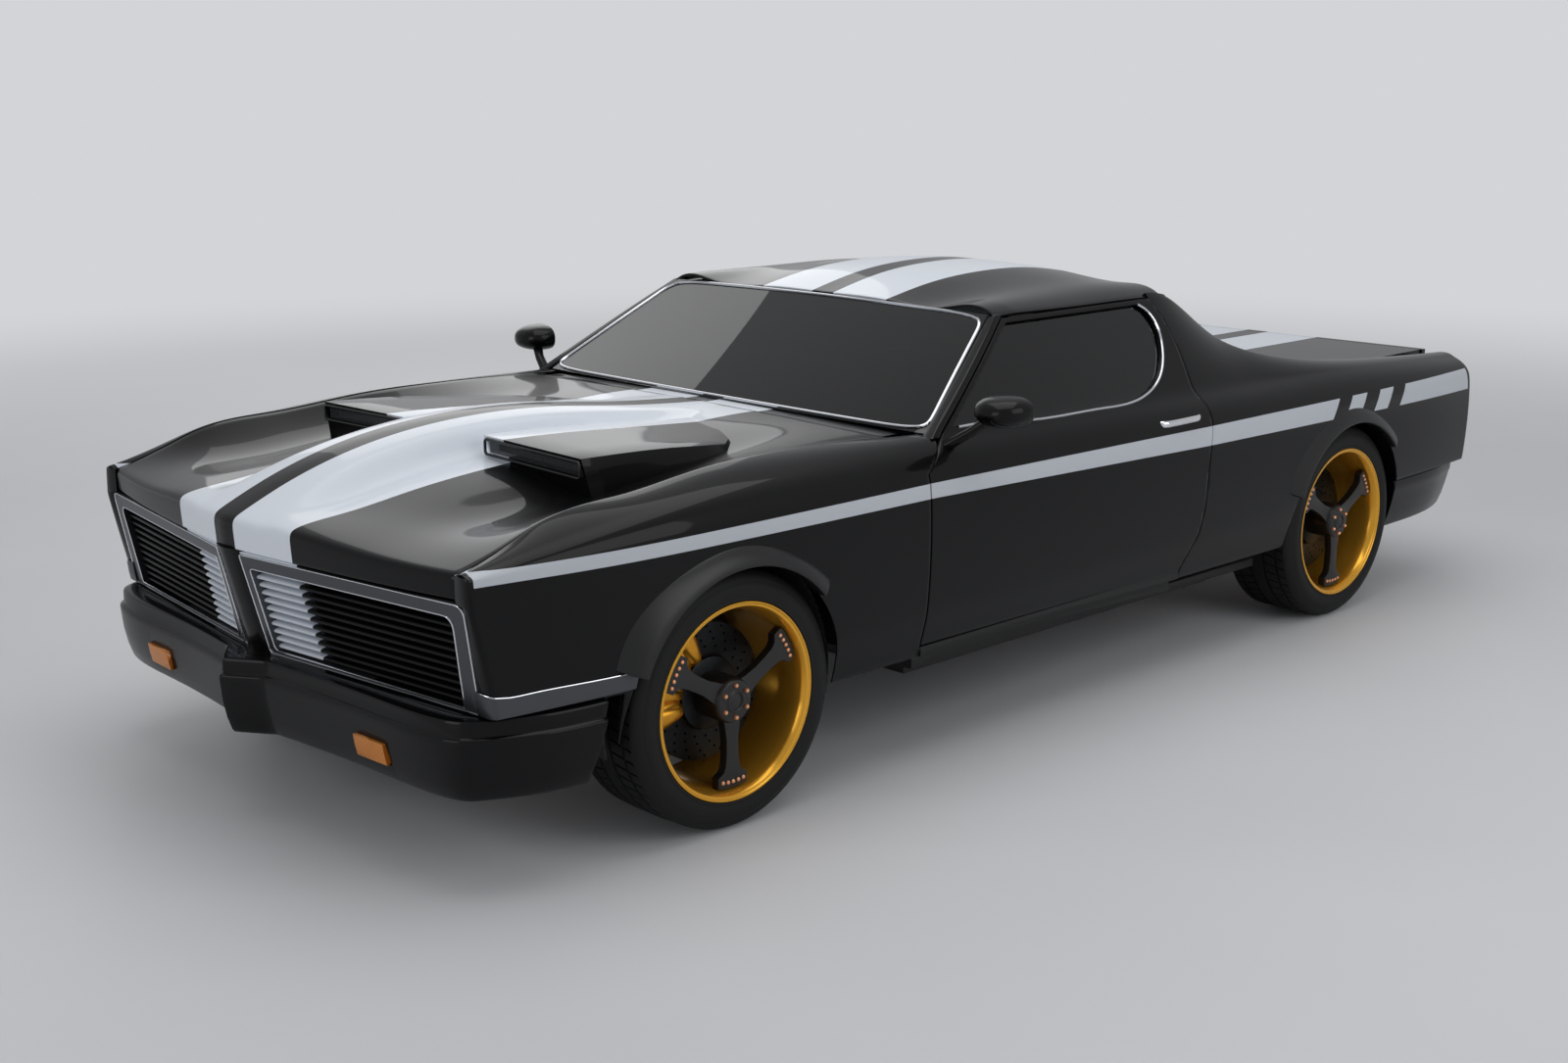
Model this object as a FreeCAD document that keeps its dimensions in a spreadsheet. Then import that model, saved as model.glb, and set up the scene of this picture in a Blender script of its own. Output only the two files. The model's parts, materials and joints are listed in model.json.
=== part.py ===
import FreeCAD, Part
import math
import os

import Sketcher
from FreeCAD import Vector

# A two-door muscle car: front towards -Y, its left side towards +X, wheels standing on z = 0.

os.makedirs("parts", exist_ok=True)
doc = FreeCAD.newDocument("MuscleCar")
sizes = doc.addObject("Spreadsheet::Sheet", "Sizes")

DIMENSIONS = [
    ("wheelbase", 2800, "between the axles"),
    ("half_length", 2290, "centre to nose prow or tail"),
    ("half_width", 932, "centre to the body crease"),
    ("roof_top", 1241, "floor to the roof's crown"),
    ("roof_edge", 1148, "floor to the roof rail"),
    ("roof_half_width", 690, "centre to the roof rail"),
    ("roof_skin", 30, "roof panel with its lining"),
    ("belt_height", 872, "floor to the bottom of the side glass"),
    ("crease_height", 757, "floor to the side crease at the door's front"),
    ("tuck_height", 421, "floor to the crease where the side turns under"),
    ("sill_height", 298, "floor to the bottom edge of the side"),
    ("hood_top", 948, "floor to the top of the hood bulge"),
    ("deck_height", 816, "floor to the boot deck"),
    ("panel", 22, "thickness of fender, hood and deck with their frames"),
    ("door_wall", 66, "thickness of door and quarter below the glass"),
    ("frame_wall", 40, "thickness of door frame and buttress at the roof"),
    ("shut_gap", 6, "gap round doors and lids"),
    ("seat_clear", 0.3, "between a piece and what it sits on"),
    ("door_front", 720, "centre to the door's front edge"),
    ("door_rear", 560, "centre to the door's rear edge"),
    ("door_bottom", 332, "floor to the door's lower edge"),
    ("pillar_depth", 14, "windscreen pillar behind the glass's face"),
    ("window_frame", 13, "door frame in front of the side glass"),
    ("glass", 5, "glass thickness"),
    ("glass_seat", 0.3, "glass to its channel"),
    ("tyre_radius", 329, "tyre, outer"),
    ("tyre_width", 262, "tyre across its side walls"),
    ("rim_lip", 252, "radius of the rolled rim lip"),
    ("rim_seat", 240, "radius of the tyre's seat on the rim"),
    ("rim_bore", 226, "inside radius of the dished barrel"),
    ("rim_width", 258, "width over the two rim lips"),
    ("lip_plane", 915, "centre to the outer rim lip"),
    ("hub_radius", 58, "wheel hub"),
    ("spoke_width", 46, "width of a spoke at its waist"),
    ("spoke_count", 3, "spokes"),
    ("spoke_depth", 24, "thickness of the spokes"),
    ("spoke_set_in", 22, "lip plane to the spokes' outer face"),
    ("disc_radius", 178, "brake disc"),
    ("disc_thickness", 26, "brake disc"),
    ("disc_set_in", 122, "lip plane to the disc's outer face"),
    ("running_gap", 6, "between what turns and what stands still"),
    ("arch_radius", 368, "wheel arch about the axle"),
    ("skin_arch", 345, "edge of the wheel arch in the outer skin"),
    ("flare_radius", 418, "outer edge of the arch flare"),
    ("flare_out", 26, "flare beyond the body side"),
    ("well_inner", 478, "centre to the inner wall of a wheel well"),
    ("well_wall", 8, "wheel well sheet"),
    ("floor_bottom", 236, "floor pan's underside above the ground"),
    ("floor_thickness", 26, "floor pan with its ribs"),
    ("boot_floor", 490, "floor to the boot's floor"),
    ("tunnel_half", 122, "centre to the outside of the shaft tunnel"),
    ("tunnel_rise", 112, "tunnel above the floor pan"),
    ("bearing_gap", 0.3, "between a hub and the spindle that carries it"),
    ("upright_drop", 110, "wheel centre to the foot of a knuckle"),
    ("engine_bottom", 270, "floor to the engine's underside"),
    ("scoop_inner", 177, "centre to the hood scoop's inner wall"),
    ("scoop_outer", 590, "centre to the hood scoop's outer wall"),
    ("scoop_mouth", 1607, "centre to the scoop's mouth"),
    ("scoop_wall", 12, "scoop wall"),
    ("slat_count", 11, "grille slats on a side"),
    ("slat_thickness", 9, "height of a slat"),
    ("bumper_wall", 46, "bumper across its wrapped end"),
    ("bumper_depth", 58, "bumper, front to back"),
    ("axle_radius", 42, "rear axle tube"),
    ("shaft_radius", 38, "drive shaft"),
    ("pipe_radius", 32, "exhaust pipe"),
    ("pipe_wall", 2.5, "exhaust pipe wall"),
    ("pipe_offset", 250, "centre to an exhaust pipe"),
    ("tail_pipe", 180, "length of the exhaust's tail"),
    ("seat_width", 480, "front seat"),
]
for row, (alias, amount, note) in enumerate(DIMENSIONS, start=1):
    sizes.set(f"A{row}", alias)
    sizes.set(f"B{row}", str(amount))
    sizes.set(f"C{row}", note)
    sizes.setAlias(f"B{row}", alias)
doc.recompute()


def value(expression):
    """The number that an expression on the sheet gives."""
    result = sizes.evalExpression(expression)
    return float(getattr(result, "Value", result))


wheelbase = value("wheelbase")
half_length = value("half_length")
half_width = value("half_width")
roof_top = value("roof_top")
roof_edge = value("roof_edge")
roof_half = value("roof_half_width")
roof_skin = value("roof_skin")
belt = value("belt_height")
crease = value("crease_height")
tuck = value("tuck_height")
sill = value("sill_height")
hood_top = value("hood_top")
deck = value("deck_height")
panel = value("panel")
door_wall = value("door_wall")
frame_wall = value("frame_wall")
gap = value("shut_gap")
door_front = -value("door_front")
door_rear = value("door_rear")
door_bottom = value("door_bottom")
glass = value("glass")
seat_clear = value("seat_clear")
pillar_depth = value("pillar_depth")
window_frame = value("window_frame")
glass_seat = value("glass_seat")
arch_radius = value("arch_radius")
skin_arch = value("skin_arch")
flare_radius = value("flare_radius")
flare_out = value("flare_out")
well_inner = value("well_inner")
well_wall = value("well_wall")
tyre_radius = value("tyre_radius")
floor_bottom = value("floor_bottom")
floor_thickness = value("floor_thickness")
scoop_inner = value("scoop_inner")
scoop_outer = value("scoop_outer")
scoop_mouth = -value("scoop_mouth")
scoop_wall = value("scoop_wall")
front_axle = -wheelbase / 2
rear_axle = wheelbase / 2
front_reach = (half_length + front_axle) / 890
rear_reach = (half_length - rear_axle) / 890
FAR = 4000.0
SIDES = (("left", 1), ("right", -1))


def from_nose(distance):
    """A place behind the nose's tip, in proportion to the front overhang."""
    return -half_length + distance * front_reach


def from_tail(distance):
    """A place ahead of the tail, in proportion to the rear overhang."""
    return half_length - distance * rear_reach


def smooth(points):
    """A smooth line through (place, amount) points, as a function of the place."""
    line = Part.BSplineCurve()
    line.interpolate([Vector(place, amount, 0) for place, amount in points])

    def at(place):
        low, high = line.FirstParameter, line.LastParameter
        for _ in range(40):
            middle = (low + high) / 2
            if line.value(middle).x < place:
                low = middle
            else:
                high = middle
        return line.value((low + high) / 2).y

    return at


def edge_through(points):
    """A straight edge through two points, or a smooth one through more."""
    if len(points) == 2:
        return Part.makeLine(points[0], points[1])
    line = Part.BSplineCurve()
    line.interpolate(points)
    return line.toShape()


def closed_wire(runs):
    """A closed wire of runs of points: each run starts where the last one ended."""
    return Part.Wire([edge_through(run) for run in runs])


def side_prism(runs, x_from, x_to, slant=0.0):
    """An outline of (y, z) runs pushed across the car, slanted rearwards by its share of the depth."""
    wire = closed_wire([[Vector(x_from, y, z) for y, z in run] for run in runs])
    depth = x_to - x_from
    return Part.Face(wire).extrude(Vector(depth, slant * depth, 0))


def plan_prism(runs, z_from, z_to):
    """An outline of (x, y) runs pushed upwards."""
    wire = closed_wire([[Vector(x, y, z_from) for x, y in run] for run in runs])
    return Part.Face(wire).extrude(Vector(0, 0, z_to - z_from))


def front_prism(corners):
    """An outline of (x, z) corners pushed along the car."""
    ring = [Vector(x, -FAR, z) for x, z in corners]
    return Part.Face(Part.makePolygon(ring + ring[:1])).extrude(Vector(0, 2 * FAR, 0))


def block(x_from, x_to, y_from, y_to, z_from, z_to):
    size = (x_to - x_from, y_to - y_from, z_to - z_from)
    return Part.makeBox(*size, Vector(x_from, y_from, z_from))


def mirrored(shape):
    return shape.mirror(Vector(0, 0, 0), Vector(1, 0, 0))


def on_side(shape, side):
    return shape if side > 0 else mirrored(shape)


def add_feature(name, shape):
    """A sub-part whose shape is worked out from the sheet here."""
    feature = doc.addObject("Part::Feature", name)
    feature.Label = name
    feature.Shape = shape
    return feature


# The body's long lines, each a height or half width along the car.

crease_x = smooth([(from_nose(-40), half_width - 96), (from_nose(160), half_width - 72),
                   (from_nose(440), half_width - 29), (front_axle, half_width - 4), (-700, half_width),
                   (500, half_width + 2), (rear_axle, half_width + 4), (from_tail(290), half_width - 10),
                   (from_tail(-40), half_width - 34)])
crease_z = smooth([(from_nose(-40), crease - 5), (from_nose(160), crease), (from_nose(440), crease + 8),
                   (front_axle, crease + 10), (-700, crease), (500, crease - 20), (rear_axle, crease - 26),
                   (from_tail(-40), crease - 30)])
shoulder_x = smooth([(from_nose(-40), half_width - 112), (from_nose(160), half_width - 92),
                     (from_nose(440), half_width - 66), (front_axle, half_width - 60),
                     (-700, half_width - 74), (0, half_width - 73), (550, half_width - 78),
                     (1000, half_width - 76), (rear_axle, half_width - 68),
                     (from_tail(290), half_width - 82), (from_tail(-40), half_width - 104)])
shoulder_z = smooth([(from_nose(-40), belt - 113), (from_nose(160), belt - 104),
                     (from_nose(305), belt - 77), (from_nose(640), belt - 32), (front_axle, belt - 15),
                     (-1100, belt - 6), (-700, belt), (0, belt - 4), (550, belt - 10), (1000, belt - 22),
                     (rear_axle, belt - 30), (1800, belt - 46), (from_tail(-40), belt - 76)])
crest_x = smooth([(from_nose(-40), half_width - 142), (from_nose(160), half_width - 124),
                  (from_nose(390), half_width - 132), (from_nose(640), half_width - 142),
                  (-1380, half_width - 160), (-1100, half_width - 166), (-850, half_width - 160),
                  (-700, half_width - 152), (-400, half_width - 140)])
crest_z = smooth([(from_nose(-40), belt - 124), (from_nose(160), belt - 107), (from_nose(305), belt - 62),
                  (from_nose(390), belt - 30), (from_nose(640), belt - 4), (-1380, belt + 19),
                  (-1100, belt + 23), (-850, belt + 16), (-700, belt + 8), (-400, belt + 2)])
rail_x = smooth([(450, roof_half - 2), (620, roof_half - 4), (740, roof_half + 6), (860, roof_half + 30),
                 (1000, roof_half + 62), (1200, roof_half + 86), (1500, roof_half + 92),
                 (from_tail(390), roof_half + 90), (from_tail(-40), roof_half + 84)])
rail_z = smooth([(450, roof_edge + 4), (620, roof_edge - 2), (740, roof_edge - 66), (860, roof_edge - 148),
                 (1000, roof_edge - 206), (1200, roof_edge - 250), (1500, deck + 46),
                 (from_tail(390), deck + 16), (from_tail(-40), deck - 8)])


def outer_line(y, top_x, top_z):
    """A body side's outside at a place: sill, tuck-under, flank, shoulder and what stands over it."""
    crease_at = crease_x(y)
    low = (crease_at - 4, tuck)
    middle = (crease_at, crease_z(y))
    high = (shoulder_x(y), shoulder_z(y))
    return [
        [(crease_at - 46, sill - 40), low],
        [low, (crease_at + 5, (tuck + crease) / 2), middle],
        [middle, (middle[0] * 0.72 + high[0] * 0.28, (middle[1] + high[1]) / 2 + 0.1 * (high[1] - middle[1])), high],
        [high, ((high[0] + top_x) / 2 + 5, (high[1] + top_z) / 2 + 5), (top_x, top_z)],
    ]


def side_section(y, top_x, top_z, inner, inner_top, drop):
    """The closed section of a body side: its outside, and an inside of straight runs."""
    crease_at = crease_x(y)
    outer = outer_line(y, top_x, top_z)
    inside = [(top_x, top_z), (top_x - inner_top, top_z), (top_x - inner_top, top_z - drop),
              (shoulder_x(y) - inner, shoulder_z(y) - drop), (crease_at - inner, crease_z(y) - drop),
              (crease_at - inner - 4, tuck), (crease_at - 46 - inner, sill - 40), (crease_at - 46, sill - 40)]
    runs = outer + [[start, end] for start, end in zip(inside, inside[1:])]
    return closed_wire([[Vector(x, y, z) for x, z in run] for run in runs])


def fender_section(y):
    """The closed section of a front fender: its top turns in to the hood."""
    crease_at = crease_x(y)
    outer = outer_line(y, crest_x(y), crest_z(y))
    inside = [(crest_x(y), crest_z(y)), (crest_x(y), crest_z(y) - panel),
              (shoulder_x(y) - panel, shoulder_z(y) - panel - 8), (crease_at - panel, crease_z(y) - panel),
              (crease_at - panel - 4, tuck), (crease_at - 46 - panel, sill - 40), (crease_at - 46, sill - 40)]
    runs = outer + [[start, end] for start, end in zip(inside, inside[1:])]
    return closed_wire([[Vector(x, y, z) for x, z in run] for run in runs])


def wheel_hole(axle, radius, x_from, x_to):
    return Part.makeCylinder(radius, x_to - x_from, Vector(x_from, axle, tyre_radius), Vector(1, 0, 0))


def wheel_space(axle):
    """The room for a wheel: wide inside the body, narrower in the outer skin."""
    inside = wheel_hole(axle, arch_radius, well_inner, half_width - 40)
    return inside.fuse(wheel_hole(axle, skin_arch, half_width - 42, 1200))


def flare(axle):
    """The lip that stands out over a wheel arch, from low in front to high behind the wheel."""
    base = half_width - 14
    tip = half_width + flare_out
    cone = Part.makeCone(flare_radius, skin_arch + 6, tip - base, Vector(base, axle, tyre_radius),
                         Vector(1, 0, 0))
    ring = cone.cut(wheel_hole(axle, skin_arch, base - 10, tip + 10))
    corners = [(0, 0)] + [(900 * math.cos(math.radians(turn)), 900 * math.sin(math.radians(turn)))
                          for turn in (41, 98, 157)]
    outline = [(axle + y, tyre_radius + z) for y, z in corners]
    return ring.common(side_prism(list(zip(outline, outline[1:] + outline[:1])), 0, 1200))


front_stations = (from_nose(-10), from_nose(160), from_nose(305), from_nose(440), from_nose(640),
                  front_axle, -1100, -850, -700, -400)
door_stations = (-1100, -900, -700, -350, 0, 350, 600, 800)
quarter_stations = (450, 620, 740, 860, 1000, 1200, 1500, from_tail(390), from_tail(-40))

fender_slab = Part.makeLoft([fender_section(y) for y in front_stations], True)
door_slab = Part.makeLoft([side_section(y, roof_half, roof_edge + 8, door_wall, frame_wall, 30)
                           for y in door_stations], True)
quarter_slab = Part.makeLoft([side_section(y, rail_x(y), rail_z(y), door_wall, frame_wall + 16, 34)
                              for y in quarter_stations], True)


# The windscreen's edge seen from the side, which the pillar and the door's front edge follow.

screen_low = (-632, belt + 10)
screen_high = (-196, roof_edge + 2)
screen_slope = math.atan2(screen_high[1] - screen_low[1], screen_high[0] - screen_low[0])


def behind_screen(depth, z):
    """The place along the car that lies a depth behind the windscreen's edge, at a height."""
    along = (z - screen_low[1]) / math.tan(screen_slope)
    return screen_low[0] + along + depth / math.sin(screen_slope)


# The opening that the door fills, and the window in it, seen from the side.

def door_outline(grow):
    """The door's front, top and foot seen from the side; its rear edge is cut by itself."""
    front = door_front - grow
    low = door_bottom - grow
    top = roof_edge - 6 + grow
    edge = pillar_depth + gap - grow
    far = door_rear + 300
    foot = belt + 6
    return [
        [(front - 6, low), (far, low - 8)],
        [(far, low - 8), (far, top)],
        [(far, top), (behind_screen(edge, top), top)],
        [(behind_screen(edge, top), top), (behind_screen(edge, foot), foot)],
        [(behind_screen(edge, foot), foot), (front, belt - 70)],
        [(front, belt - 70), (front - 6, low)],
    ]


def skin_in(z):
    """How far the side lies inside the crease at a height, above the crease."""
    if z <= crease:
        return 0.0
    if z <= belt:
        return (half_width - 858) * (z - crease) / (belt - crease)
    return half_width - 858 + (858 - roof_half) * (z - belt) / (roof_edge - belt)


door_cut_slant = 0.27


def door_rear_cut(grow):
    """What lies ahead of the door's rear edge, whose face slants so that the door can swing out."""
    rear = door_rear + grow
    line = [(rear - 96, 200), (rear - 92, door_bottom), (rear - 44, tuck + 10), (rear - 14, 640),
            (rear + 10, crease + 30), (rear + 12, belt + 40), (rear + 2, roof_edge - 96),
            (rear - 20, roof_edge - 26), (rear - 60, roof_edge + 60)]
    moved = [(y + door_cut_slant * (skin_in(z) + half_width - 400), z) for y, z in line]
    x_from = 400
    runs = [moved[:2], moved[1:], [moved[-1], (-FAR, moved[-1][1])],
            [(-FAR, moved[-1][1]), (-FAR, moved[0][1])], [(-FAR, moved[0][1]), moved[0]]]
    shift = -2 * door_cut_slant * (half_width - x_from)
    return side_prism([[(y + shift, z) for y, z in run] for run in runs], x_from, 1100, door_cut_slant)


def door_space(grow):
    return side_prism(door_outline(grow), 400, 1100).common(door_rear_cut(grow))


def window_outline(grow):
    """The side glass seen from the side, with its round rear corners."""
    depth = pillar_depth + gap + window_frame - grow
    low = belt + 20 - grow
    high = roof_edge - 18 + grow
    front_low = behind_screen(depth, low)
    front_high = behind_screen(depth, high)
    return [
        [(front_low, low), (-425, low - 1), (-225, belt + 4 - grow), (86, belt - 2 - grow),
         (337 + grow / 2, belt + 12 - grow), (440 + grow, belt + 60), (500 + grow, belt + 140),
         (512 + grow, belt + 200), (496 + grow, roof_edge - 40)],
        [(496 + grow, roof_edge - 40), (464, high)],
        [(464, high), (front_high, high)],
        [(front_high, high), (front_low, low)],
    ]


hinge_x = half_width + 2.5
hinge_y = door_front - gap / 2


def make_door():
    """A door with its window frame, handle, mirror and the pins that it swings on."""
    shape = door_slab.common(door_space(0)).cut(side_prism(window_outline(0), 400, 1100))
    pin_radius = gap / 2 - seat_clear
    pins = []
    for z in (480, 650):
        pin = Part.makeCylinder(pin_radius, 60, Vector(hinge_x, hinge_y, z))
        leaf = block(hinge_x - pin_radius, hinge_x, hinge_y, door_front + 1, z, z + 60)
        pins.append(pin.fuse(leaf))
    handle = Part.makeCylinder(9, 210, Vector(half_width - 7, 315, 800), Vector(0, 1, 0.02))
    feet = [Part.makeCylinder(8, 50, Vector(half_width - 57, y, 802), Vector(1, 0, 0)) for y in (330, 505)]
    stalk = Part.makeLoft([
        Part.Wire(Part.makeCircle(22, Vector(half_width - 75, -600, belt - 26), Vector(0.7, 0.3, 0.7))),
        Part.Wire(Part.makeCircle(16, Vector(half_width + 10, -575, belt + 30), Vector(0.7, 0.3, 0.7))),
        Part.Wire(Part.makeCircle(18, Vector(half_width + 60, -545, belt + 70), Vector(0.6, 0.4, 0.6))),
    ], True)
    head = Part.makeSphere(1)
    matrix = FreeCAD.Matrix()
    matrix.scale(92, 62, 42)
    head = head.transformGeometry(matrix)
    head.translate(Vector(half_width + 92, -545, belt + 84))
    return shape.fuse(pins + [handle] + feet + [stalk, head]).removeSplitter()


door_left_shape = make_door()
for word, side in SIDES:
    add_feature(f"door_{word}", on_side(door_left_shape, side))

glass_slab = Part.makeLoft([side_section(y, roof_half, roof_edge + 8, 30, 30, 0.5) for y in door_stations], True)
glass_inner = Part.makeLoft([side_section(y, roof_half, roof_edge + 8, 30 - glass, 30 - glass, 0.5)
                             for y in door_stations], True)
door_glass_shape = glass_slab.cut(glass_inner).common(side_prism(window_outline(-glass_seat), 400, 1100))
for word, side in SIDES:
    add_feature(f"door_glass_{word}", on_side(door_glass_shape, side))

front_hole = wheel_space(front_axle)
rear_hole = wheel_space(rear_axle)


# The hood: centre bulge, valley and raised edges, through stations from the nose to the cowl.

hood_stations = [
    (from_nose(-40), 745, (0.14, 742), (0.24, 740), (0.52, 738)),
    (from_nose(160), 838, (0.14, 826), (0.235, 800), (0.52, 775)),
    (from_nose(390), hood_top - 38, (0.125, 897), (0.205, 838), (0.55, 786)),
    (-1600, hood_top, (0.12, 936), (0.18, 868), (0.57, 812)),
    (-1300, hood_top - 5, (0.12, 933), (0.18, 878), (0.57, 843)),
    (-1000, hood_top - 37, (0.12, 905), (0.20, 884), (0.57, 870)),
    (-660, hood_top - 62, (0.12, 886), (0.20, 886), (0.57, 884)),
]


def hood_section(y, centre, bulge_top, bulge_foot, valley, drop):
    edge_x = crest_x(y)
    half = [
        [(0, centre), (bulge_top[0] * 600, (centre + bulge_top[1]) / 2 + 2), (bulge_top[0] * 1000, bulge_top[1])],
        [(bulge_top[0] * 1000, bulge_top[1]), (bulge_foot[0] * 1000, bulge_foot[1])],
        [(bulge_foot[0] * 1000, bulge_foot[1]), (0.6 * valley[0] * 1000 + 60, (bulge_foot[1] + valley[1]) / 2 - 4),
         (valley[0] * 1000, valley[1]), (edge_x, crest_z(y))],
    ]
    top = half
    floor_line = [[(x, z - drop) for x, z in run[::-1]] for run in half[::-1]]
    runs = top + [[top[-1][-1], floor_line[0][0]]] + floor_line + [[floor_line[-1][-1], top[0][0]]]
    return closed_wire([[Vector(x, y, z) for x, z in run] for run in runs])


hood_slab = Part.makeLoft([hood_section(*station, panel) for station in hood_stations], True)


def make_hood_flange():
    """The ledge inside a fender with the buffers that the hood rests on."""
    rings = []
    for y in (from_nose(180), from_nose(390), from_nose(640), front_axle, -1100, -850, door_front - 15):
        low, high = crest_z(y) - panel - 20, crest_z(y) - panel - 12
        ring = [Vector(x, y, z) for x, z in ((crest_x(y) - 24, low), (crest_x(y) + 30, low),
                                             (crest_x(y) + 30, high), (crest_x(y) - 24, high))]
        rings.append(Part.makePolygon(ring + ring[:1]))
    ledge = Part.makeLoft(rings, True, True)
    buffers = [Part.makeCylinder(8, 36, Vector(crest_x(y) - 15, y, crest_z(y) - panel - 18))
               for y in (from_nose(230), -1500, -780)]
    return ledge.fuse(buffers).cut(hood_slab.translated(Vector(0, 0, -seat_clear)))


def make_fender():
    keep = side_prism([
        [(from_nose(155), 690), (from_nose(145), 900)],
        [(from_nose(145), 900), (door_front - gap, 900)],
        [(door_front - gap, 900), (door_front - gap - 6, sill)],
        [(door_front - gap - 6, sill), (-1030, sill)],
        [(-1030, sill), (from_nose(540), 430)],
        [(from_nose(540), 430), (from_nose(215), 436)],
        [(from_nose(215), 436), (from_nose(155), 690)],
    ], 0, 1200)
    shape = fender_slab.common(keep).fuse([flare(front_axle).common(keep), make_hood_flange()])
    shape = shape.cut(front_hole).removeSplitter()
    return sorted(shape.Solids, key=lambda solid: solid.Volume)[-1]


fender_shape = make_fender()
for word, side in SIDES:
    add_feature(f"fender_{word}", on_side(fender_shape, side))


def make_quarter():
    keep = side_prism([
        [(200, FAR / 2), (200, sill)],
        [(200, sill), (from_tail(540), sill)],
        [(from_tail(540), sill), (from_tail(35), 425)],
        [(from_tail(35), 425), (from_tail(18), FAR / 2)],
        [(from_tail(18), FAR / 2), (200, FAR / 2)],
    ], 0, 1200)
    opening = door_space(gap)
    ahead = side_prism([[(0, 0), (door_rear - 60, 0)], [(door_rear - 60, 0), (door_rear - 60, FAR / 2)],
                        [(door_rear - 60, FAR / 2), (0, FAR / 2)], [(0, FAR / 2), (0, 0)]], 0, 1200)
    shape = quarter_slab.common(keep).fuse(flare(rear_axle)).cut(rear_hole).cut(opening).cut(ahead)
    solids = sorted(shape.Solids, key=lambda solid: solid.Volume)
    return solids[-1]


quarter_shape = make_quarter()
for word, side in SIDES:
    add_feature(f"quarter_{word}", on_side(quarter_shape, side))


def roof_section(y, centre, edge, drop):
    """Half of the roof's arch at a place along the car, as points from the left edge to the right."""
    half = [(0, centre), (roof_half * 0.35, centre - (centre - edge) * 0.12),
            (roof_half * 0.72, centre - (centre - edge) * 0.52), (roof_half - 22, edge + 8),
            (roof_half + 6, edge - 10)]
    lower = [(x * 0.965, z - drop) for x, z in half]
    top = [(-x, z) for x, z in half[:0:-1]] + half
    bottom = [(-x, z) for x, z in lower[:0:-1]] + lower
    runs = [top, [top[-1], bottom[-1]], bottom[::-1], [bottom[0], top[0]]]
    return closed_wire([[Vector(x, y, z) for x, z in run] for run in runs])


def make_roof():
    """The roof panel with the two windscreen pillars."""
    stations = [(-190, roof_top - 76, roof_edge + 8), (0, roof_top - 28, roof_edge + 4),
                (250, roof_top, roof_edge + 1), (500, roof_top - 6, roof_edge), (660, roof_top - 34, roof_edge - 6)]
    arch = Part.makeLoft([roof_section(y, centre, edge, roof_skin) for y, centre, edge in stations], True)
    pillar_slab = Part.makeLoft([side_section(y, roof_half, roof_edge + 8, 104, 46, 30)
                                 for y in door_stations], True)
    z_low, z_high = belt + 8, roof_edge + 4
    band = side_prism([
        [(behind_screen(0, z_low), z_low), (behind_screen(pillar_depth, z_low), z_low)],
        [(behind_screen(pillar_depth, z_low), z_low), (behind_screen(pillar_depth, z_high), z_high)],
        [(behind_screen(pillar_depth, z_high), z_high), (behind_screen(0, z_high), z_high)],
        [(behind_screen(0, z_high), z_high), (behind_screen(0, z_low), z_low)]], 400, 1100)
    pillar = pillar_slab.common(band)
    shape = arch.fuse([pillar, mirrored(pillar)])
    for side in (1, -1):
        shape = shape.cut(on_side(door_slab.common(side_prism(door_outline(gap), 400, 1100)), side))
        shape = shape.cut(on_side(quarter_shape, side))
    return shape.removeSplitter()


roof_shape = make_roof()
add_feature("roof", sorted(roof_shape.Solids, key=lambda solid: solid.Volume)[-1])


def bowed_sheet(low, high, thickness, outline):
    """A sheet bowed across the car. Each line is a corner (x, y, z) and its middle's (y, z)."""
    rings = []
    for share in (-1.14, -0.75, -0.4, 0, 0.4, 0.75, 1.14):
        ends = []
        for (corner_x, corner_y, corner_z), (middle_y, middle_z) in (low, high):
            bow = share * share
            ends.append(Vector(share * low[0][0], middle_y + (corner_y - middle_y) * bow,
                               middle_z + (corner_z - middle_z) * bow))
        along = (ends[1] - ends[0]).normalize()
        inwards = Vector(0, along.z, -along.y) * thickness
        ring = [ends[0] - along * 60, ends[1] + along * 60, ends[1] + along * 60 + inwards,
                ends[0] - along * 60 + inwards]
        rings.append(Part.makePolygon([Vector(share * low[0][0], p.y, p.z) for p in ring + ring[:1]]))
    return Part.makeLoft(rings, True).common(front_prism(outline))


windshield_shape = bowed_sheet(((756, -632, belt + 10), (-668, belt + 16)),
                               ((756, -196, roof_edge + 2), (-196, roof_top - 78)), glass * 2,
                               [(-752, belt + 12), (0, belt + 18), (752, belt + 12), (654, roof_edge),
                                (0, roof_top - 82), (-654, roof_edge)])
add_feature("windshield", windshield_shape.cut(roof_shape).Solids[0])

rear_window_shape = bowed_sheet(((640, 1030, deck + 10), (1060, deck + 10)),
                                ((640, 668, roof_edge - 30), (668, roof_top - 60)), glass * 2,
                                [(-720, deck + seat_clear), (720, deck + seat_clear), (700, roof_edge + 40),
                                 (-700, roof_edge + 40)])
rear_window_shape = rear_window_shape.cut(Part.makeCompound([roof_shape, quarter_shape, mirrored(quarter_shape)]))
add_feature("rear_window", sorted(rear_window_shape.Solids, key=lambda solid: solid.Volume)[-1])

grille_low = 430
grille_high = 700
nose_half = 832
rail_front = from_nose(280)
lip_low = grille_high + gap


def nose_slab(front, back, z_low, z_high):
    """A slab that follows the grille's face: a shallow V in plan that leans back downwards."""
    rings = []
    for z in (z_low, z_high):
        down = (694 - z) / 270
        prow = from_nose(42 + 68 * down)
        corner = from_nose(158 + 48 * down)
        line = [(-nose_half, corner), (0, prow), (nose_half, corner)]
        ring = [Vector(x, y + front, z) for x, y in line] + [Vector(x, y + back, z) for x, y in line[::-1]]
        rings.append(Part.makePolygon(ring + ring[:1]))
    return Part.makeLoft(rings, True, True)


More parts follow.
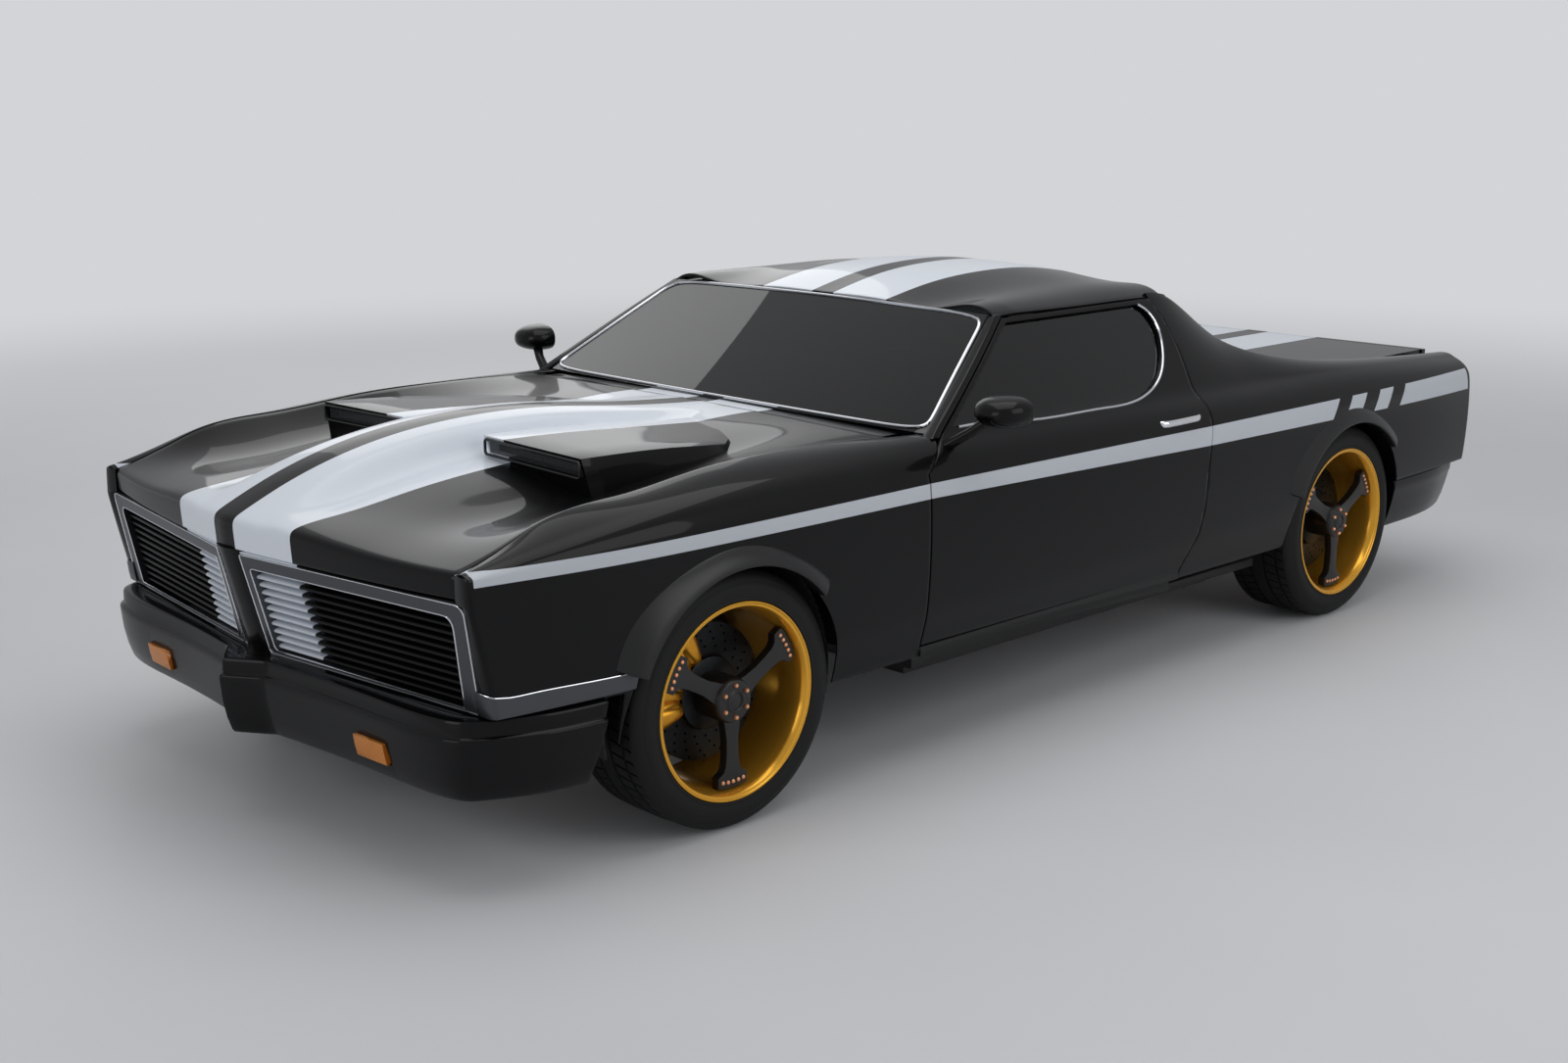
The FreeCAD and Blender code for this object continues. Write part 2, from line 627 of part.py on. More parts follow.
def under_hood_top(depth):
    """All that lies between the hood's outside and a depth below it, on both sides."""
    half = Part.makeLoft([hood_section(*station, 500) for station in hood_stations], True)
    half = half.translated(Vector(0, 0, -depth))
    return half.fuse(mirrored(half))


def hood_plan(shrink):
    """The hood from above: the V nose, the shut lines along the fender crests, and the cowl."""
    edge_run = [(crest_x(y) - shrink, y) for y in (from_nose(152), from_nose(390), from_nose(640), -1380, -1100,
                                                  -850, door_front - 4)]
    return [
        [(0, from_nose(30) + shrink), (420, from_nose(82) + shrink), edge_run[0]],
        edge_run,
        [edge_run[-1], (0, door_front - 12)],
        [(0, door_front - 12), (0, from_nose(30) + shrink)],
    ]


def make_hood():
    half = hood_slab.common(plan_prism(hood_plan(gap), 500, 1200))
    scoop_outer_wires = []
    scoop_inner_wires = []
    for y, x_in, x_out, top_in, top_out, low in (
            (scoop_mouth, scoop_inner, scoop_outer, 922, 916, 800),
            (-1400, scoop_inner + 2, scoop_outer - 20, 916, 908, 812),
            (-1230, scoop_inner + 6, scoop_outer - 60, 904, 892, 830),
            (-880, scoop_inner + 30, scoop_outer - 220, 880, 872, 850)):
        for wires, wall in ((scoop_outer_wires, 0), (scoop_inner_wires, scoop_wall)):
            ring = [Vector(x_in + wall, y, low - wall), Vector(x_out - wall, y, low - wall),
                    Vector(x_out - wall, y, top_out - wall), Vector(x_in + wall, y, top_in - wall)]
            wires.append(Part.makePolygon(ring + ring[:1]))
    scoop = Part.makeLoft(scoop_outer_wires, True, True)
    hollow = Part.makeLoft(scoop_inner_wires[:3], True, True).common(
        block(0, 1000, scoop_mouth - 20, scoop_mouth + 190, 700, 1000))
    below = Part.makeLoft([hood_section(*station, 200) for station in hood_stations], True)
    scoop = scoop.cut(below.translated(Vector(0, 0, -2)))
    hollow = hollow.cut(below.translated(Vector(0, 0, 1)))
    half = half.fuse(scoop).cut(hollow)
    lip_half = crest_x(from_nose(152)) - gap
    lip = nose_slab(0, panel - 4, lip_low, grille_high + 120).common(under_hood_top(0))
    lip = lip.common(block(-lip_half, lip_half, -FAR, FAR, 0, FAR))
    whole = half.fuse([mirrored(half), lip]).removeSplitter()
    mesh_box = block(scoop_inner + scoop_wall, scoop_outer - scoop_wall, scoop_mouth + 24, scoop_mouth + 36, 780, 912)
    mesh = mesh_box.common(hollow)
    return whole, mesh


hood_shape, mesh_shape = make_hood()
add_feature("hood", hood_shape)
add_feature("scoop_mesh", Part.makeCompound([mesh_shape, mirrored(mesh_shape)]))


grille_opening = [(68, 446), (784, 442), (814, 686), (54, 684)]


def make_nose():
    """The nose panel behind the grille: the lip over it, the beak between and a bar under it."""
    shell = nose_slab(panel + gap + 8, 60, grille_low, grille_high + 80).common(under_hood_top(panel + gap))
    shell = shell.fuse(nose_slab(0, 60, grille_low, grille_high))
    opening = front_prism(grille_opening)
    tray = nose_slab(40, 250, grille_low, grille_low + 12).common(
        block(-FAR, FAR, -FAR, rail_front - seat_clear, 0, FAR))
    both = Part.makeCompound([fender_shape, mirrored(fender_shape)])
    return shell.cut(opening).cut(mirrored(opening)).fuse(tray).cut(both).removeSplitter()


nose_shape = make_nose()
add_feature("nose_panel", nose_shape)


def make_grille():
    """A row of level slats on each side of the beak, on a thin plate behind them."""
    opening = front_prism([(69, 447), (783, 443), (813, 685), (55, 683)])
    count = int(value("slat_count"))
    thick = value("slat_thickness")
    pitch = (684 - 448) / count
    half = nose_slab(44, 52, grille_low, grille_high).common(opening)
    band = nose_slab(14, 45, grille_low, grille_high).common(opening)
    slats = [band.common(block(0, FAR, -FAR, FAR, z - thick / 2, z + thick / 2))
             for z in (448 + (row + 0.5) * pitch for row in range(count))]
    half = half.fuse(slats).removeSplitter()
    return Part.makeCompound([half, mirrored(half)])


add_feature("grille", make_grille())


def make_surround():
    """The bright frame of each grille, with the blade that runs back under the fender."""
    frame = nose_slab(-8, -0.3, grille_low, grille_high)
    ring = frame.common(front_prism([(52, 700), (831, 700), (800, 430), (66, 430)]))
    ring = ring.cut(front_prism([(68, 684), (800, 680), (770, 452), (82, 452)]))
    blade_outer = fender_slab.translated(Vector(6, 0, 0))
    blade = blade_outer.cut(fender_slab.translated(Vector(seat_clear, 0, 0))).common(side_prism([
        [(from_nose(200), grille_low), (from_nose(528), grille_low)],
        [(from_nose(528), grille_low), (from_nose(522), 468)],
        [(from_nose(522), 468), (from_nose(340), 466), (from_nose(200), 474)],
        [(from_nose(200), 474), (from_nose(200), grille_low)]], 860, 1200))
    return Part.makeCompound([ring, mirrored(ring), blade, mirrored(blade)])


add_feature("grille_surround", make_surround())


def wrap_ring(z, prow, corner_x, corner_y, side_x, side_y, wall, back):
    """One level of a bumper that wraps round a corner, as a closed wire seen from above."""
    outer = [[(0, prow), (corner_x * 0.55, prow + (corner_y - prow) * 0.35), (corner_x, corner_y)],
             [(corner_x, corner_y), (side_x, corner_y + (side_y - corner_y) * 0.3), (side_x, side_y)],
             [(side_x, side_y), (side_x - wall, side_y)],
             [(side_x - wall, side_y), (side_x - wall, corner_y + (side_y - corner_y) * 0.3 + wall * 0.4),
              (corner_x - wall * 0.8, corner_y + back)],
             [(corner_x - wall * 0.8, corner_y + back), (corner_x * 0.55, prow + (corner_y - prow) * 0.35 + back),
              (0, prow + back)],
             [(0, prow + back), (0, prow)]]
    return closed_wire([[Vector(x, y, z) for x, y in run] for run in outer])


def prow_ring(z, set_back, narrow):
    """One level of the front bumper: a pointed prow, a long shallow face and a wrapped end."""
    side = half_width - narrow
    wall, back = value("bumper_wall"), value("bumper_depth")
    runs = [[(0, 0), (95, 64)],
            [(95, 64), (310, 86), (540, 98), (740, 114)],
            [(740, 114), (812, 140), (side - 66, 215), (side - 16, 345), (side, 500 - set_back)],
            [(side, 500 - set_back), (side - wall, 500 - set_back)],
            [(side - wall, 500 - set_back), (side - wall - 14, 350), (side - wall - 60, 232),
             (772, 188), (726, 114 + back)],
            [(726, 114 + back), (540, 98 + back), (310, 86 + back), (95, 64 + back)],
            [(95, 64 + back), (0, back)],
            [(0, back), (0, 0)]]
    return closed_wire([[Vector(x, from_nose(y + set_back), z) for x, y in run] for run in runs])


def make_front_bumper():
    levels = [(232, 28, 30), (300, 12, 6), (375, 0, 0), (grille_low - seat_clear, 3, 4)]
    rings = [prow_ring(*level) for level in levels]
    half = Part.makeLoft(rings, True, True)
    half = half.cut(wheel_hole(front_axle, arch_radius, 300, 1200))
    lamp = block(455, 571, -FAR, from_nose(290), 274, 328)
    pocket = lamp.common(half.translated(Vector(0, -30, 0)))
    half = half.cut(pocket)
    lamp_solid = block(455 + 0.3, 571 - 0.3, -FAR, from_nose(290), 274 + 0.3, 328 - 0.3).common(
        make_lamp_slab(rings))
    whole = half.fuse(mirrored(half)).removeSplitter()
    return whole, lamp_solid


def make_lamp_slab(rings):
    body = Part.makeLoft(rings, True, True)
    return body.common(body.translated(Vector(0, 8, 0))).cut(body.translated(Vector(0, 28, 0)))


bumper_shape, lamp_shape = make_front_bumper()
bumper_shape = bumper_shape.cut(Part.makeCompound([lamp_shape, mirrored(lamp_shape)]))
add_feature("front_bumper", bumper_shape)
add_feature("front_lamps", Part.makeCompound([lamp_shape, mirrored(lamp_shape)]))


def make_rear_bumper():
    levels = [
        (250, from_tail(120), 780, from_tail(140), half_width - 46, from_tail(530)),
        (330, from_tail(50), 830, from_tail(110), half_width - 16, from_tail(500)),
        (424, half_length, 850, from_tail(90), half_width - 10, from_tail(480)),
    ]
    rings = []
    for z, prow, corner_x, corner_y, side_x, side_y in levels:
        ring = wrap_ring(z, -prow, corner_x, -corner_y, side_x, -side_y, 46, 60)
        rings.append(ring)
    half = Part.makeLoft(rings, True, True)
    half = half.mirror(Vector(0, 0, 0), Vector(0, 1, 0))
    half = half.cut(wheel_hole(rear_axle, arch_radius, 300, 1200))
    half = half.cut(quarter_shape)
    half = sorted(half.Solids, key=lambda solid: solid.Volume)[-1]
    return half.fuse(mirrored(half)).removeSplitter()


add_feature("rear_bumper", make_rear_bumper())


boot_floor = value("boot_floor")


def make_rear_deck():
    """The panel between the buttresses and round the boot lid, with the tail panel under it."""
    inner = rail_x(from_tail(490)) - frame_wall - 16 - 8
    ledge = block(-inner, inner, 1000, 1500, deck - panel, deck)
    lip = block(-inner, inner, from_tail(46), from_tail(24), 600, deck)
    tail = block(-(half_width - 110), half_width - 110, from_tail(60), from_tail(24), 430, deck - 26)
    wall = block(-inner, inner, 1000, 1000 + panel, boot_floor, deck - panel)
    gutters = [block(inner - 60, inner, 1000, from_tail(24), deck - panel - 26, deck - panel),
               block(-inner, -inner + 60, 1000, from_tail(24), deck - panel - 26, deck - panel)]
    both = Part.makeCompound([quarter_shape, mirrored(quarter_shape)])
    return ledge.fuse([lip, tail, wall] + gutters).cut(both).removeSplitter()


add_feature("rear_deck", make_rear_deck())

lid_half = rail_x(from_tail(490)) - frame_wall - 16 - 8 - gap
lid = block(-lid_half, lid_half, 1500 + gap, from_tail(46) - gap, deck - panel + seat_clear, deck)
add_feature("trunk_lid", lid)


def make_tail_lamps():
    lamps = [block(side * 560 - 180, side * 560 + 180, from_tail(24), from_tail(14), 560, 660)
             for side in (1, -1)]
    return Part.makeCompound(lamps)


add_feature("tail_lamps", make_tail_lamps())


tunnel_half = value("tunnel_half")
tunnel_rise = value("tunnel_rise")


def make_cowl():
    """The panel between hood and windscreen, with the bulkhead under it."""
    line = [(0, belt + 16), (400, belt + 12), (740, belt + 4)]
    ring = [(x, z) for x, z in line[::-1]] + [(-x, z) for x, z in line[1:]]
    ring += [(x, z - 24) for x, z in ring[::-1]]
    top = Part.makeLoft([Part.makePolygon([Vector(x, y, z) for x, z in ring + ring[:1]])
                         for y in (door_front + 4, -650)], True, True).cut(windshield_shape)
    top = sorted(top.Solids, key=lambda solid: solid.Volume)[-1]
    floor_top = floor_bottom + floor_thickness
    wall = block(-780, 780, door_front + 4, door_front + 30, floor_top, belt - 60)
    upper = block(-740, 740, door_front + 4, door_front + 30, belt - 60, belt - 14)
    tunnel = block(-tunnel_half, tunnel_half, -FAR, FAR, 0, floor_top + tunnel_rise)
    return top.fuse([wall, upper]).cut(tunnel).removeSplitter()


add_feature("cowl", make_cowl())


def make_floor():
    """The floor pan with sills, tunnel, front rails, boot floor and the four wheel wells."""
    low, high = floor_bottom, floor_bottom + floor_thickness
    kick = 960
    tail = from_tail(66)
    plates = [
        block(-tunnel_half, tunnel_half, door_front + 4, kick + 20, high, high + tunnel_rise),
        block(-780, 780, kick, kick + 20, high, boot_floor),
        block(-well_inner + 4, well_inner - 4, kick, tail, boot_floor - 20, boot_floor),
    ]
    for word, side in SIDES:
        plates.append(on_side(block(800, 870, door_front - 3, door_rear - 98, low + 20, door_bottom - gap), side))
        plates.append(on_side(block(850, half_width - 29, door_front - 3, door_rear - 98, sill,
                                    door_bottom - gap), side))
        plates.append(on_side(block(well_inner - 30, well_inner - 8, rail_front, door_front + 4, 430, 520), side))
        plates.append(on_side(block(well_inner - 30, well_inner - 8, door_front - 20, door_front + 4,
                                    low, 430), side))
        plates.append(on_side(block(well_inner - 10, half_width - door_wall - 60, 1780, tail, boot_floor - 20,
                                    boot_floor), side))
        for axle, reach in ((front_axle, half_width - 80), (rear_axle, half_width - door_wall - 60)):
            well = wheel_hole(axle, arch_radius + well_wall, well_inner - well_wall, reach)
            well = well.cut(block(-FAR, FAR, -FAR, FAR, -FAR, low + 20))
            plates.append(on_side(well, side))
    floor = block(-840, 840, door_front, kick + 20, low, high)
    shape = floor.fuse(plates)
    for side in (1, -1):
        for axle in (front_axle, rear_axle):
            shape = shape.cut(on_side(wheel_hole(axle, arch_radius, well_inner, 1200), side))
    inside = tunnel_half - 14
    shape = shape.cut(block(-inside, inside, -FAR, kick + 40, 0, high + tunnel_rise - 14))
    for side in (1, -1):
        slot = block(well_inner - 20, well_inner + 10, rear_axle - 70, rear_axle + 70, 0, boot_floor - 30)
        shape = shape.cut(on_side(slot, side))
        slot = block(well_inner - 20, well_inner + 10, front_axle - 70, front_axle + 70, 0, 300)
        shape = shape.cut(on_side(slot, side))
    return shape.removeSplitter()


floor_shape = make_floor()
add_feature("floor_pan", floor_shape)


def bound(kind, name, **settings):
    """A primitive whose sizes are expressions on the sheet."""
    item = doc.addObject(kind, name)
    for prop, expression in settings.items():
        item.setExpression(prop.replace("__", "."), str(expression))
    return item


def turned_body(name, corners, axle_expression, x_expression):
    """A body turned about the car's cross axis from an outline of (across, radius) corners."""
    body = doc.addObject("PartDesign::Body", name)
    body.Label = name
    outline = body.newObject("Sketcher::SketchObject", f"{name}_outline")
    plane = [item for item in body.Origin.OriginFeatures if item.Role == "XY_Plane"][0]
    outline.AttachmentSupport = [(plane, "")]
    outline.MapMode = "FlatFace"
    draw_outline(outline, corners)
    turn = body.newObject("PartDesign::Revolution", f"{name}_turn")
    turn.Profile = outline
    turn.ReferenceAxis = (outline, ["H_Axis"])
    turn.Angle = 360
    body.setExpression("Placement.Base.x", x_expression)
    body.setExpression("Placement.Base.y", axle_expression)
    body.setExpression("Placement.Base.z", "Sizes.tyre_radius")
    return body


def draw_outline(outline, corners):
    """A closed outline of straight lines, each corner held by two expressions."""
    points = [Vector(value(across), value(up), 0) for across, up in corners]
    count = len(points)
    for index in range(count):
        outline.addGeometry(Part.LineSegment(points[index], points[(index + 1) % count]), False)
    for index in range(count):
        outline.addConstraint(Sketcher.Constraint("Coincident", index, 2, (index + 1) % count, 1))
    for index, (across, up) in enumerate(corners):
        at = outline.addConstraint(Sketcher.Constraint("DistanceX", index, 1, points[index].x))
        outline.setExpression(f"Constraints[{at}]", across)
        at = outline.addConstraint(Sketcher.Constraint("DistanceY", index, 1, points[index].y))
        outline.setExpression(f"Constraints[{at}]", up)


WHEELS = [("front_left", "-Sizes.wheelbase / 2", 1), ("front_right", "-Sizes.wheelbase / 2", -1),
          ("rear_left", "Sizes.wheelbase / 2", 1), ("rear_right", "Sizes.wheelbase / 2", -1)]


def across(side, expression):
    """An expression measured from the wheel's outer lip plane inwards, for either side."""
    return f"{side} * ({expression})"


def make_tyre(name, axle, side):
    half = "Sizes.tyre_width / 2"
    corners = [
        (across(side, "-(Sizes.rim_width / 2 - 6.5)"), "Sizes.rim_seat + Sizes.seat_clear"),
        (across(side, "-(Sizes.rim_width / 2 - 6.5)"), "Sizes.rim_lip + Sizes.seat_clear"),
        (across(side, f"-{half} + 1"), "Sizes.rim_lip + 4"),
        (across(side, f"-{half}"), "Sizes.rim_lip + 24"),
        (across(side, f"-{half} + 6"), "Sizes.tyre_radius - 22"),
        (across(side, f"-{half} + 24"), "Sizes.tyre_radius"),
        (across(side, f"{half} - 24"), "Sizes.tyre_radius"),
        (across(side, f"{half} - 6"), "Sizes.tyre_radius - 22"),
        (across(side, f"{half}"), "Sizes.rim_lip + 24"),
        (across(side, f"{half} - 1"), "Sizes.rim_lip + 4"),
        (across(side, "Sizes.rim_width / 2 - 6.5"), "Sizes.rim_lip + Sizes.seat_clear"),
        (across(side, "Sizes.rim_width / 2 - 6.5"), "Sizes.rim_seat + Sizes.seat_clear"),
    ]
    return turned_body(f"tyre_{name}", corners, axle, across(side, "Sizes.lip_plane - Sizes.rim_width / 2"))


def make_rim(name, axle, side):
    half = "Sizes.rim_width / 2"
    corners = [
        (across(side, f"{half}"), "Sizes.rim_lip - 8"),
        (across(side, f"{half}"), "Sizes.rim_lip"),
        (across(side, f"{half} - 6"), "Sizes.rim_lip"),
        (across(side, f"{half} - 6"), "Sizes.rim_seat"),
        (across(side, f"-{half} + 6"), "Sizes.rim_seat"),
        (across(side, f"-{half} + 6"), "Sizes.rim_lip"),
        (across(side, f"-{half}"), "Sizes.rim_lip"),
        (across(side, f"-{half}"), "Sizes.rim_bore + 4"),
        (across(side, f"{half} - 34"), "Sizes.rim_bore"),
        (across(side, f"{half} - 9"), "Sizes.rim_seat - 5"),
    ]
    return turned_body(f"rim_{name}", corners, axle, across(side, "Sizes.lip_plane - Sizes.rim_width / 2"))


def make_spider(name, axle, side):
    """Hub, three spokes with flared ends, and the brake disc behind them, all bolted together."""
    x_place = across(side, "Sizes.lip_plane - Sizes.spoke_set_in")
    depth = f"Sizes.disc_set_in - Sizes.spoke_set_in"
    corners = [
        (across(side, "18"), "0"),
        (across(side, "18"), "Sizes.hub_radius - 20"),
        (across(side, "6"), "Sizes.hub_radius"),
        (across(side, f"-({depth})"), "Sizes.hub_radius"),
        (across(side, f"-({depth})"), "Sizes.disc_radius"),
        (across(side, f"-({depth}) - Sizes.disc_thickness"), "Sizes.disc_radius"),
        (across(side, f"-({depth}) - Sizes.disc_thickness"), "0"),
    ]
    body = turned_body(f"spider_{name}", corners, axle, x_place)
    doc.recompute()
    sketch = body.newObject("Sketcher::SketchObject", f"spider_{name}_spoke")
    plane = [item for item in body.Origin.OriginFeatures if item.Role == "YZ_Plane"][0]
    sketch.AttachmentSupport = [(plane, "")]
    sketch.MapMode = "FlatFace"
    waist = "Sizes.spoke_width / 2"
    draw_outline(sketch, [
        (f"-{waist} - 6", "-Sizes.hub_radius * 0.7"),
        (f"{waist} + 6", "-Sizes.hub_radius * 0.7"),
        (f"{waist} - 4", "-(Sizes.hub_radius + 40)"),
        (f"{waist} + 1", "-(Sizes.rim_bore - 48)"),
        (f"{waist} + 22", "-(Sizes.rim_bore - 22)"),
        (f"{waist} + 22", "-sqrt(pow(Sizes.rim_bore; 2) - pow(Sizes.spoke_width / 2 + 22; 2))"),
        ("0", "-(Sizes.rim_bore - 0.2)"),
        (f"-{waist} - 22", "-sqrt(pow(Sizes.rim_bore; 2) - pow(Sizes.spoke_width / 2 + 22; 2))"),
        (f"-{waist} - 22", "-(Sizes.rim_bore - 22)"),
        (f"-{waist} - 1", "-(Sizes.rim_bore - 48)"),
        (f"-{waist} + 4", "-(Sizes.hub_radius + 40)"),
    ])
    pad = body.newObject("PartDesign::Pad", f"spider_{name}_pad")
    pad.Profile = sketch
    pad.setExpression("Length", "Sizes.spoke_depth")
    pad.Reversed = side > 0
    pattern = body.newObject("PartDesign::PolarPattern", f"spider_{name}_ring")
    pattern.Originals = [pad]
    axis = [item for item in body.Origin.OriginFeatures if item.Role == "X_Axis"][0]
    pattern.Axis = (axis, [""])
    pattern.Angle = 360
    pattern.setExpression("Occurrences", "Sizes.spoke_count")
    body.Tip = pattern
    return body


for wheel_name, axle_expression, wheel_side in WHEELS:
    make_tyre(wheel_name, axle_expression, wheel_side)
    make_rim(wheel_name, axle_expression, wheel_side)
    make_spider(wheel_name, axle_expression, wheel_side)


def fused(name, tools):
    union = doc.addObject("Part::MultiFuse", name)
    union.Label = name
    union.Shapes = tools
    return union


def placed(item, x, y, z):
    item.setExpression("Placement.Base.x", x)
    item.setExpression("Placement.Base.y", y)
    item.setExpression("Placement.Base.z", z)
    return item


def bound_box(name, x, y, z, length, width, height):
    item = bound("Part::Box", name, Length=length, Width=width, Height=height)
    return placed(item, x, y, z)


def bound_tube(name, radius, height, x, y, z, axis):
    item = bound("Part::Cylinder", name, Radius=radius, Height=height)
    item.Placement = FreeCAD.Placement(Vector(0, 0, 0), FreeCAD.Rotation(Vector(0, 0, 1), axis))
    return placed(item, x, y, z)


def make_knuckle(word, side):
    """The upright that carries a front wheel, with its brake caliper over the disc."""
    inner = "Sizes.lip_plane - Sizes.disc_set_in - Sizes.disc_thickness - Sizes.running_gap"
    start = f"({inner}) - 40" if side > 0 else f"-({inner})"
    upright = bound_box(f"upright_{word}", start, "-Sizes.wheelbase / 2 - 45",
                        "Sizes.tyre_radius - Sizes.upright_drop", "40", "90", "Sizes.upright_drop + 110")
    spindle = bound_tube(f"spindle_{word}", "30", "Sizes.running_gap - Sizes.bearing_gap + 1",
                         f"{inner} - 1" if side > 0 else f"-({inner}) - Sizes.running_gap + Sizes.bearing_gap",
                         "-Sizes.wheelbase / 2", "Sizes.tyre_radius", Vector(1, 0, 0))
    back = "Sizes.lip_plane - Sizes.disc_set_in - Sizes.disc_thickness - Sizes.running_gap - 30"
    front = "Sizes.lip_plane - Sizes.disc_set_in + Sizes.running_gap"
    slab_x = f"{back}" if side > 0 else f"-({back}) - 30"
    outer_x = f"{front}" if side > 0 else f"-({front}) - 30"
    bridge_x = f"{back}" if side > 0 else f"-({front}) - 30"
    y_place = "-Sizes.wheelbase / 2 - 190"
    inner_pad = bound_box(f"caliper_inner_{word}", slab_x, y_place, "Sizes.tyre_radius + 10", "30", "150", "84")
    outer_pad = bound_box(f"caliper_outer_{word}", outer_x, y_place, "Sizes.tyre_radius + 10", "30", "70", "84")
    bridge = bound_box(f"caliper_bridge_{word}", bridge_x, "-Sizes.wheelbase / 2 - 197",
                       "Sizes.tyre_radius + 10", f"({front}) + 30 - ({back})", "12", "84")
    return fused(f"knuckle_{word}", [upright, spindle, inner_pad, outer_pad, bridge])


for word, side in SIDES:
    make_knuckle(word, side)

# The mechanical pieces that show from below.

axle_tube = bound_tube("axle_tube", "Sizes.axle_radius",
                       "2 * (Sizes.lip_plane - Sizes.disc_set_in - Sizes.disc_thickness - Sizes.bearing_gap)",
                       "-(Sizes.lip_plane - Sizes.disc_set_in - Sizes.disc_thickness - Sizes.bearing_gap)",
                       "Sizes.wheelbase / 2", "Sizes.tyre_radius", Vector(1, 0, 0))
differential = bound_tube("differential", "Sizes.axle_radius * 3", "180", "-90", "Sizes.wheelbase / 2",
                          "Sizes.tyre_radius", Vector(1, 0, 0))
springs = [bound_tube(f"spring_{word}", "Sizes.shaft_radius",
                      "Sizes.boot_floor - 20 - Sizes.tyre_radius - Sizes.seat_clear",
                      f"{side} * (Sizes.well_inner - 80)", "Sizes.wheelbase / 2", "Sizes.tyre_radius",
                      Vector(0, 0, 1)) for word, side in SIDES]
fused("rear_axle", [axle_tube, differential] + springs)

engine = bound_box("engine", "-280", "-Sizes.wheelbase / 2 - 160", "Sizes.engine_bottom", "560", "640", "500")
gearbox = bound_box("gearbox", "-90", "-Sizes.wheelbase / 2 + 480", "Sizes.floor_bottom + 10", "180", "560",
                    "90")
shaft = bound_tube("shaft", "Sizes.shaft_radius",
                   "Sizes.wheelbase - 1040 - Sizes.axle_radius * 3 - Sizes.seat_clear",
                   "0", "-Sizes.wheelbase / 2 + 1040", "Sizes.floor_bottom + 60", Vector(0, 1, 0))
fused("drivetrain", [engine, gearbox, shaft])

crossmember = bound_box("crossmember", "-Sizes.well_inner + 10", "-Sizes.wheelbase / 2 - 90", "200",
                        "2 * (Sizes.well_inner - 10)", "180", "60")
arms = []
for word, side in SIDES:
    reach = "Sizes.lip_plane - Sizes.disc_set_in - Sizes.disc_thickness - Sizes.running_gap - 352"
    start = "330" if side > 0 else f"-330 - ({reach})"
    arms.append(bound_box(f"arm_{word}", start, "-Sizes.wheelbase / 2 - 30",
                          "Sizes.tyre_radius - Sizes.upright_drop - Sizes.seat_clear - 24", reach, "60", "24"))
posts = [bound_box(f"post_{word}", "Sizes.well_inner - 38" if side > 0 else "-Sizes.well_inner + 10",
                   "-Sizes.wheelbase / 2 - 60", "259", "28", "120", "171 - Sizes.seat_clear")
         for word, side in SIDES]
engine_mounts = [bound_box(f"engine_mount_{word}", "150" if side > 0 else "-250",
                           "-Sizes.wheelbase / 2 - 60", "259", "100", "120",
                           "Sizes.engine_bottom - 259 - Sizes.seat_clear") for word, side in SIDES]
fused("front_suspension", [crossmember] + arms + posts + engine_mounts)


def make_exhaust():
    """A straight pipe down each side, passing under the axle, with a silencer and an open tail."""
    pieces = []
    level = "Sizes.floor_bottom - Sizes.pipe_radius - 6"
    tail = "Sizes.half_length - Sizes.tail_pipe"
    for word, side in SIDES:
        x = f"{side} * Sizes.pipe_offset"
        pieces.append(bound_tube(f"riser_{word}", "Sizes.pipe_radius",
                                 f"Sizes.engine_bottom - Sizes.seat_clear - ({level})", x,
                                 "-Sizes.wheelbase / 2 + 380", level, Vector(0, 0, 1)))
        elbow = bound("Part::Sphere", f"elbow_{word}", Radius="Sizes.pipe_radius")
        pieces.append(placed(elbow, x, "-Sizes.wheelbase / 2 + 380", level))
        pieces.append(bound_tube(f"pipe_{word}", "Sizes.pipe_radius", f"{tail} + Sizes.wheelbase / 2 - 380", x,
                                 "-Sizes.wheelbase / 2 + 380", level, Vector(0, 1, 0)))
        pieces.append(bound_box(f"hanger_{word}", f"{x} - 12", "600", level, "24", "30",
                                f"Sizes.floor_bottom - ({level}) - Sizes.seat_clear"))
        pieces.append(bound_box(f"silencer_{word}", f"{x} - 110", "Sizes.half_length - 620", f"{level} - 50",
                                "220", "380", "104"))
        outside = bound_tube(f"tail_{word}", "Sizes.pipe_radius + 10", "Sizes.tail_pipe - 8", x, tail,
                             level, Vector(0, 1, 0))
        bore = bound_tube(f"tail_bore_{word}", "Sizes.pipe_radius + 10 - Sizes.pipe_wall",
                          "Sizes.tail_pipe", x, f"{tail} + 20", level, Vector(0, 1, 0))
        end = doc.addObject("Part::Cut", f"tail_end_{word}")
        end.Base = outside
        end.Tool = bore
        pieces.append(end)
    return fused("exhaust", pieces)


make_exhaust()


def make_seats():
    """Two bucket seats and a rear bench, each a plain cushion and back."""
    low = floor_bottom + floor_thickness + seat_clear
    items = []
    for side in (1, -1):
        centre = side * 400
        half = value("seat_width") / 2
        cushion = block(centre - half, centre + half, -260, 240, low, 460)
        items.append(cushion.fuse(block(centre - half + 10, centre + half - 10, 200, 330, 455, 980)))
    bench = block(-600, 600, 600, 940, low, 450).fuse(block(-600, 600, 850, 950, 445, 800))
    tunnel = block(-tunnel_half - 8, tunnel_half + 8, -FAR, FAR, 0, floor_bottom + floor_thickness + tunnel_rise + 0.3)
    items.append(bench.cut(tunnel))
    return Part.makeCompound(items)


add_feature("seats", make_seats())


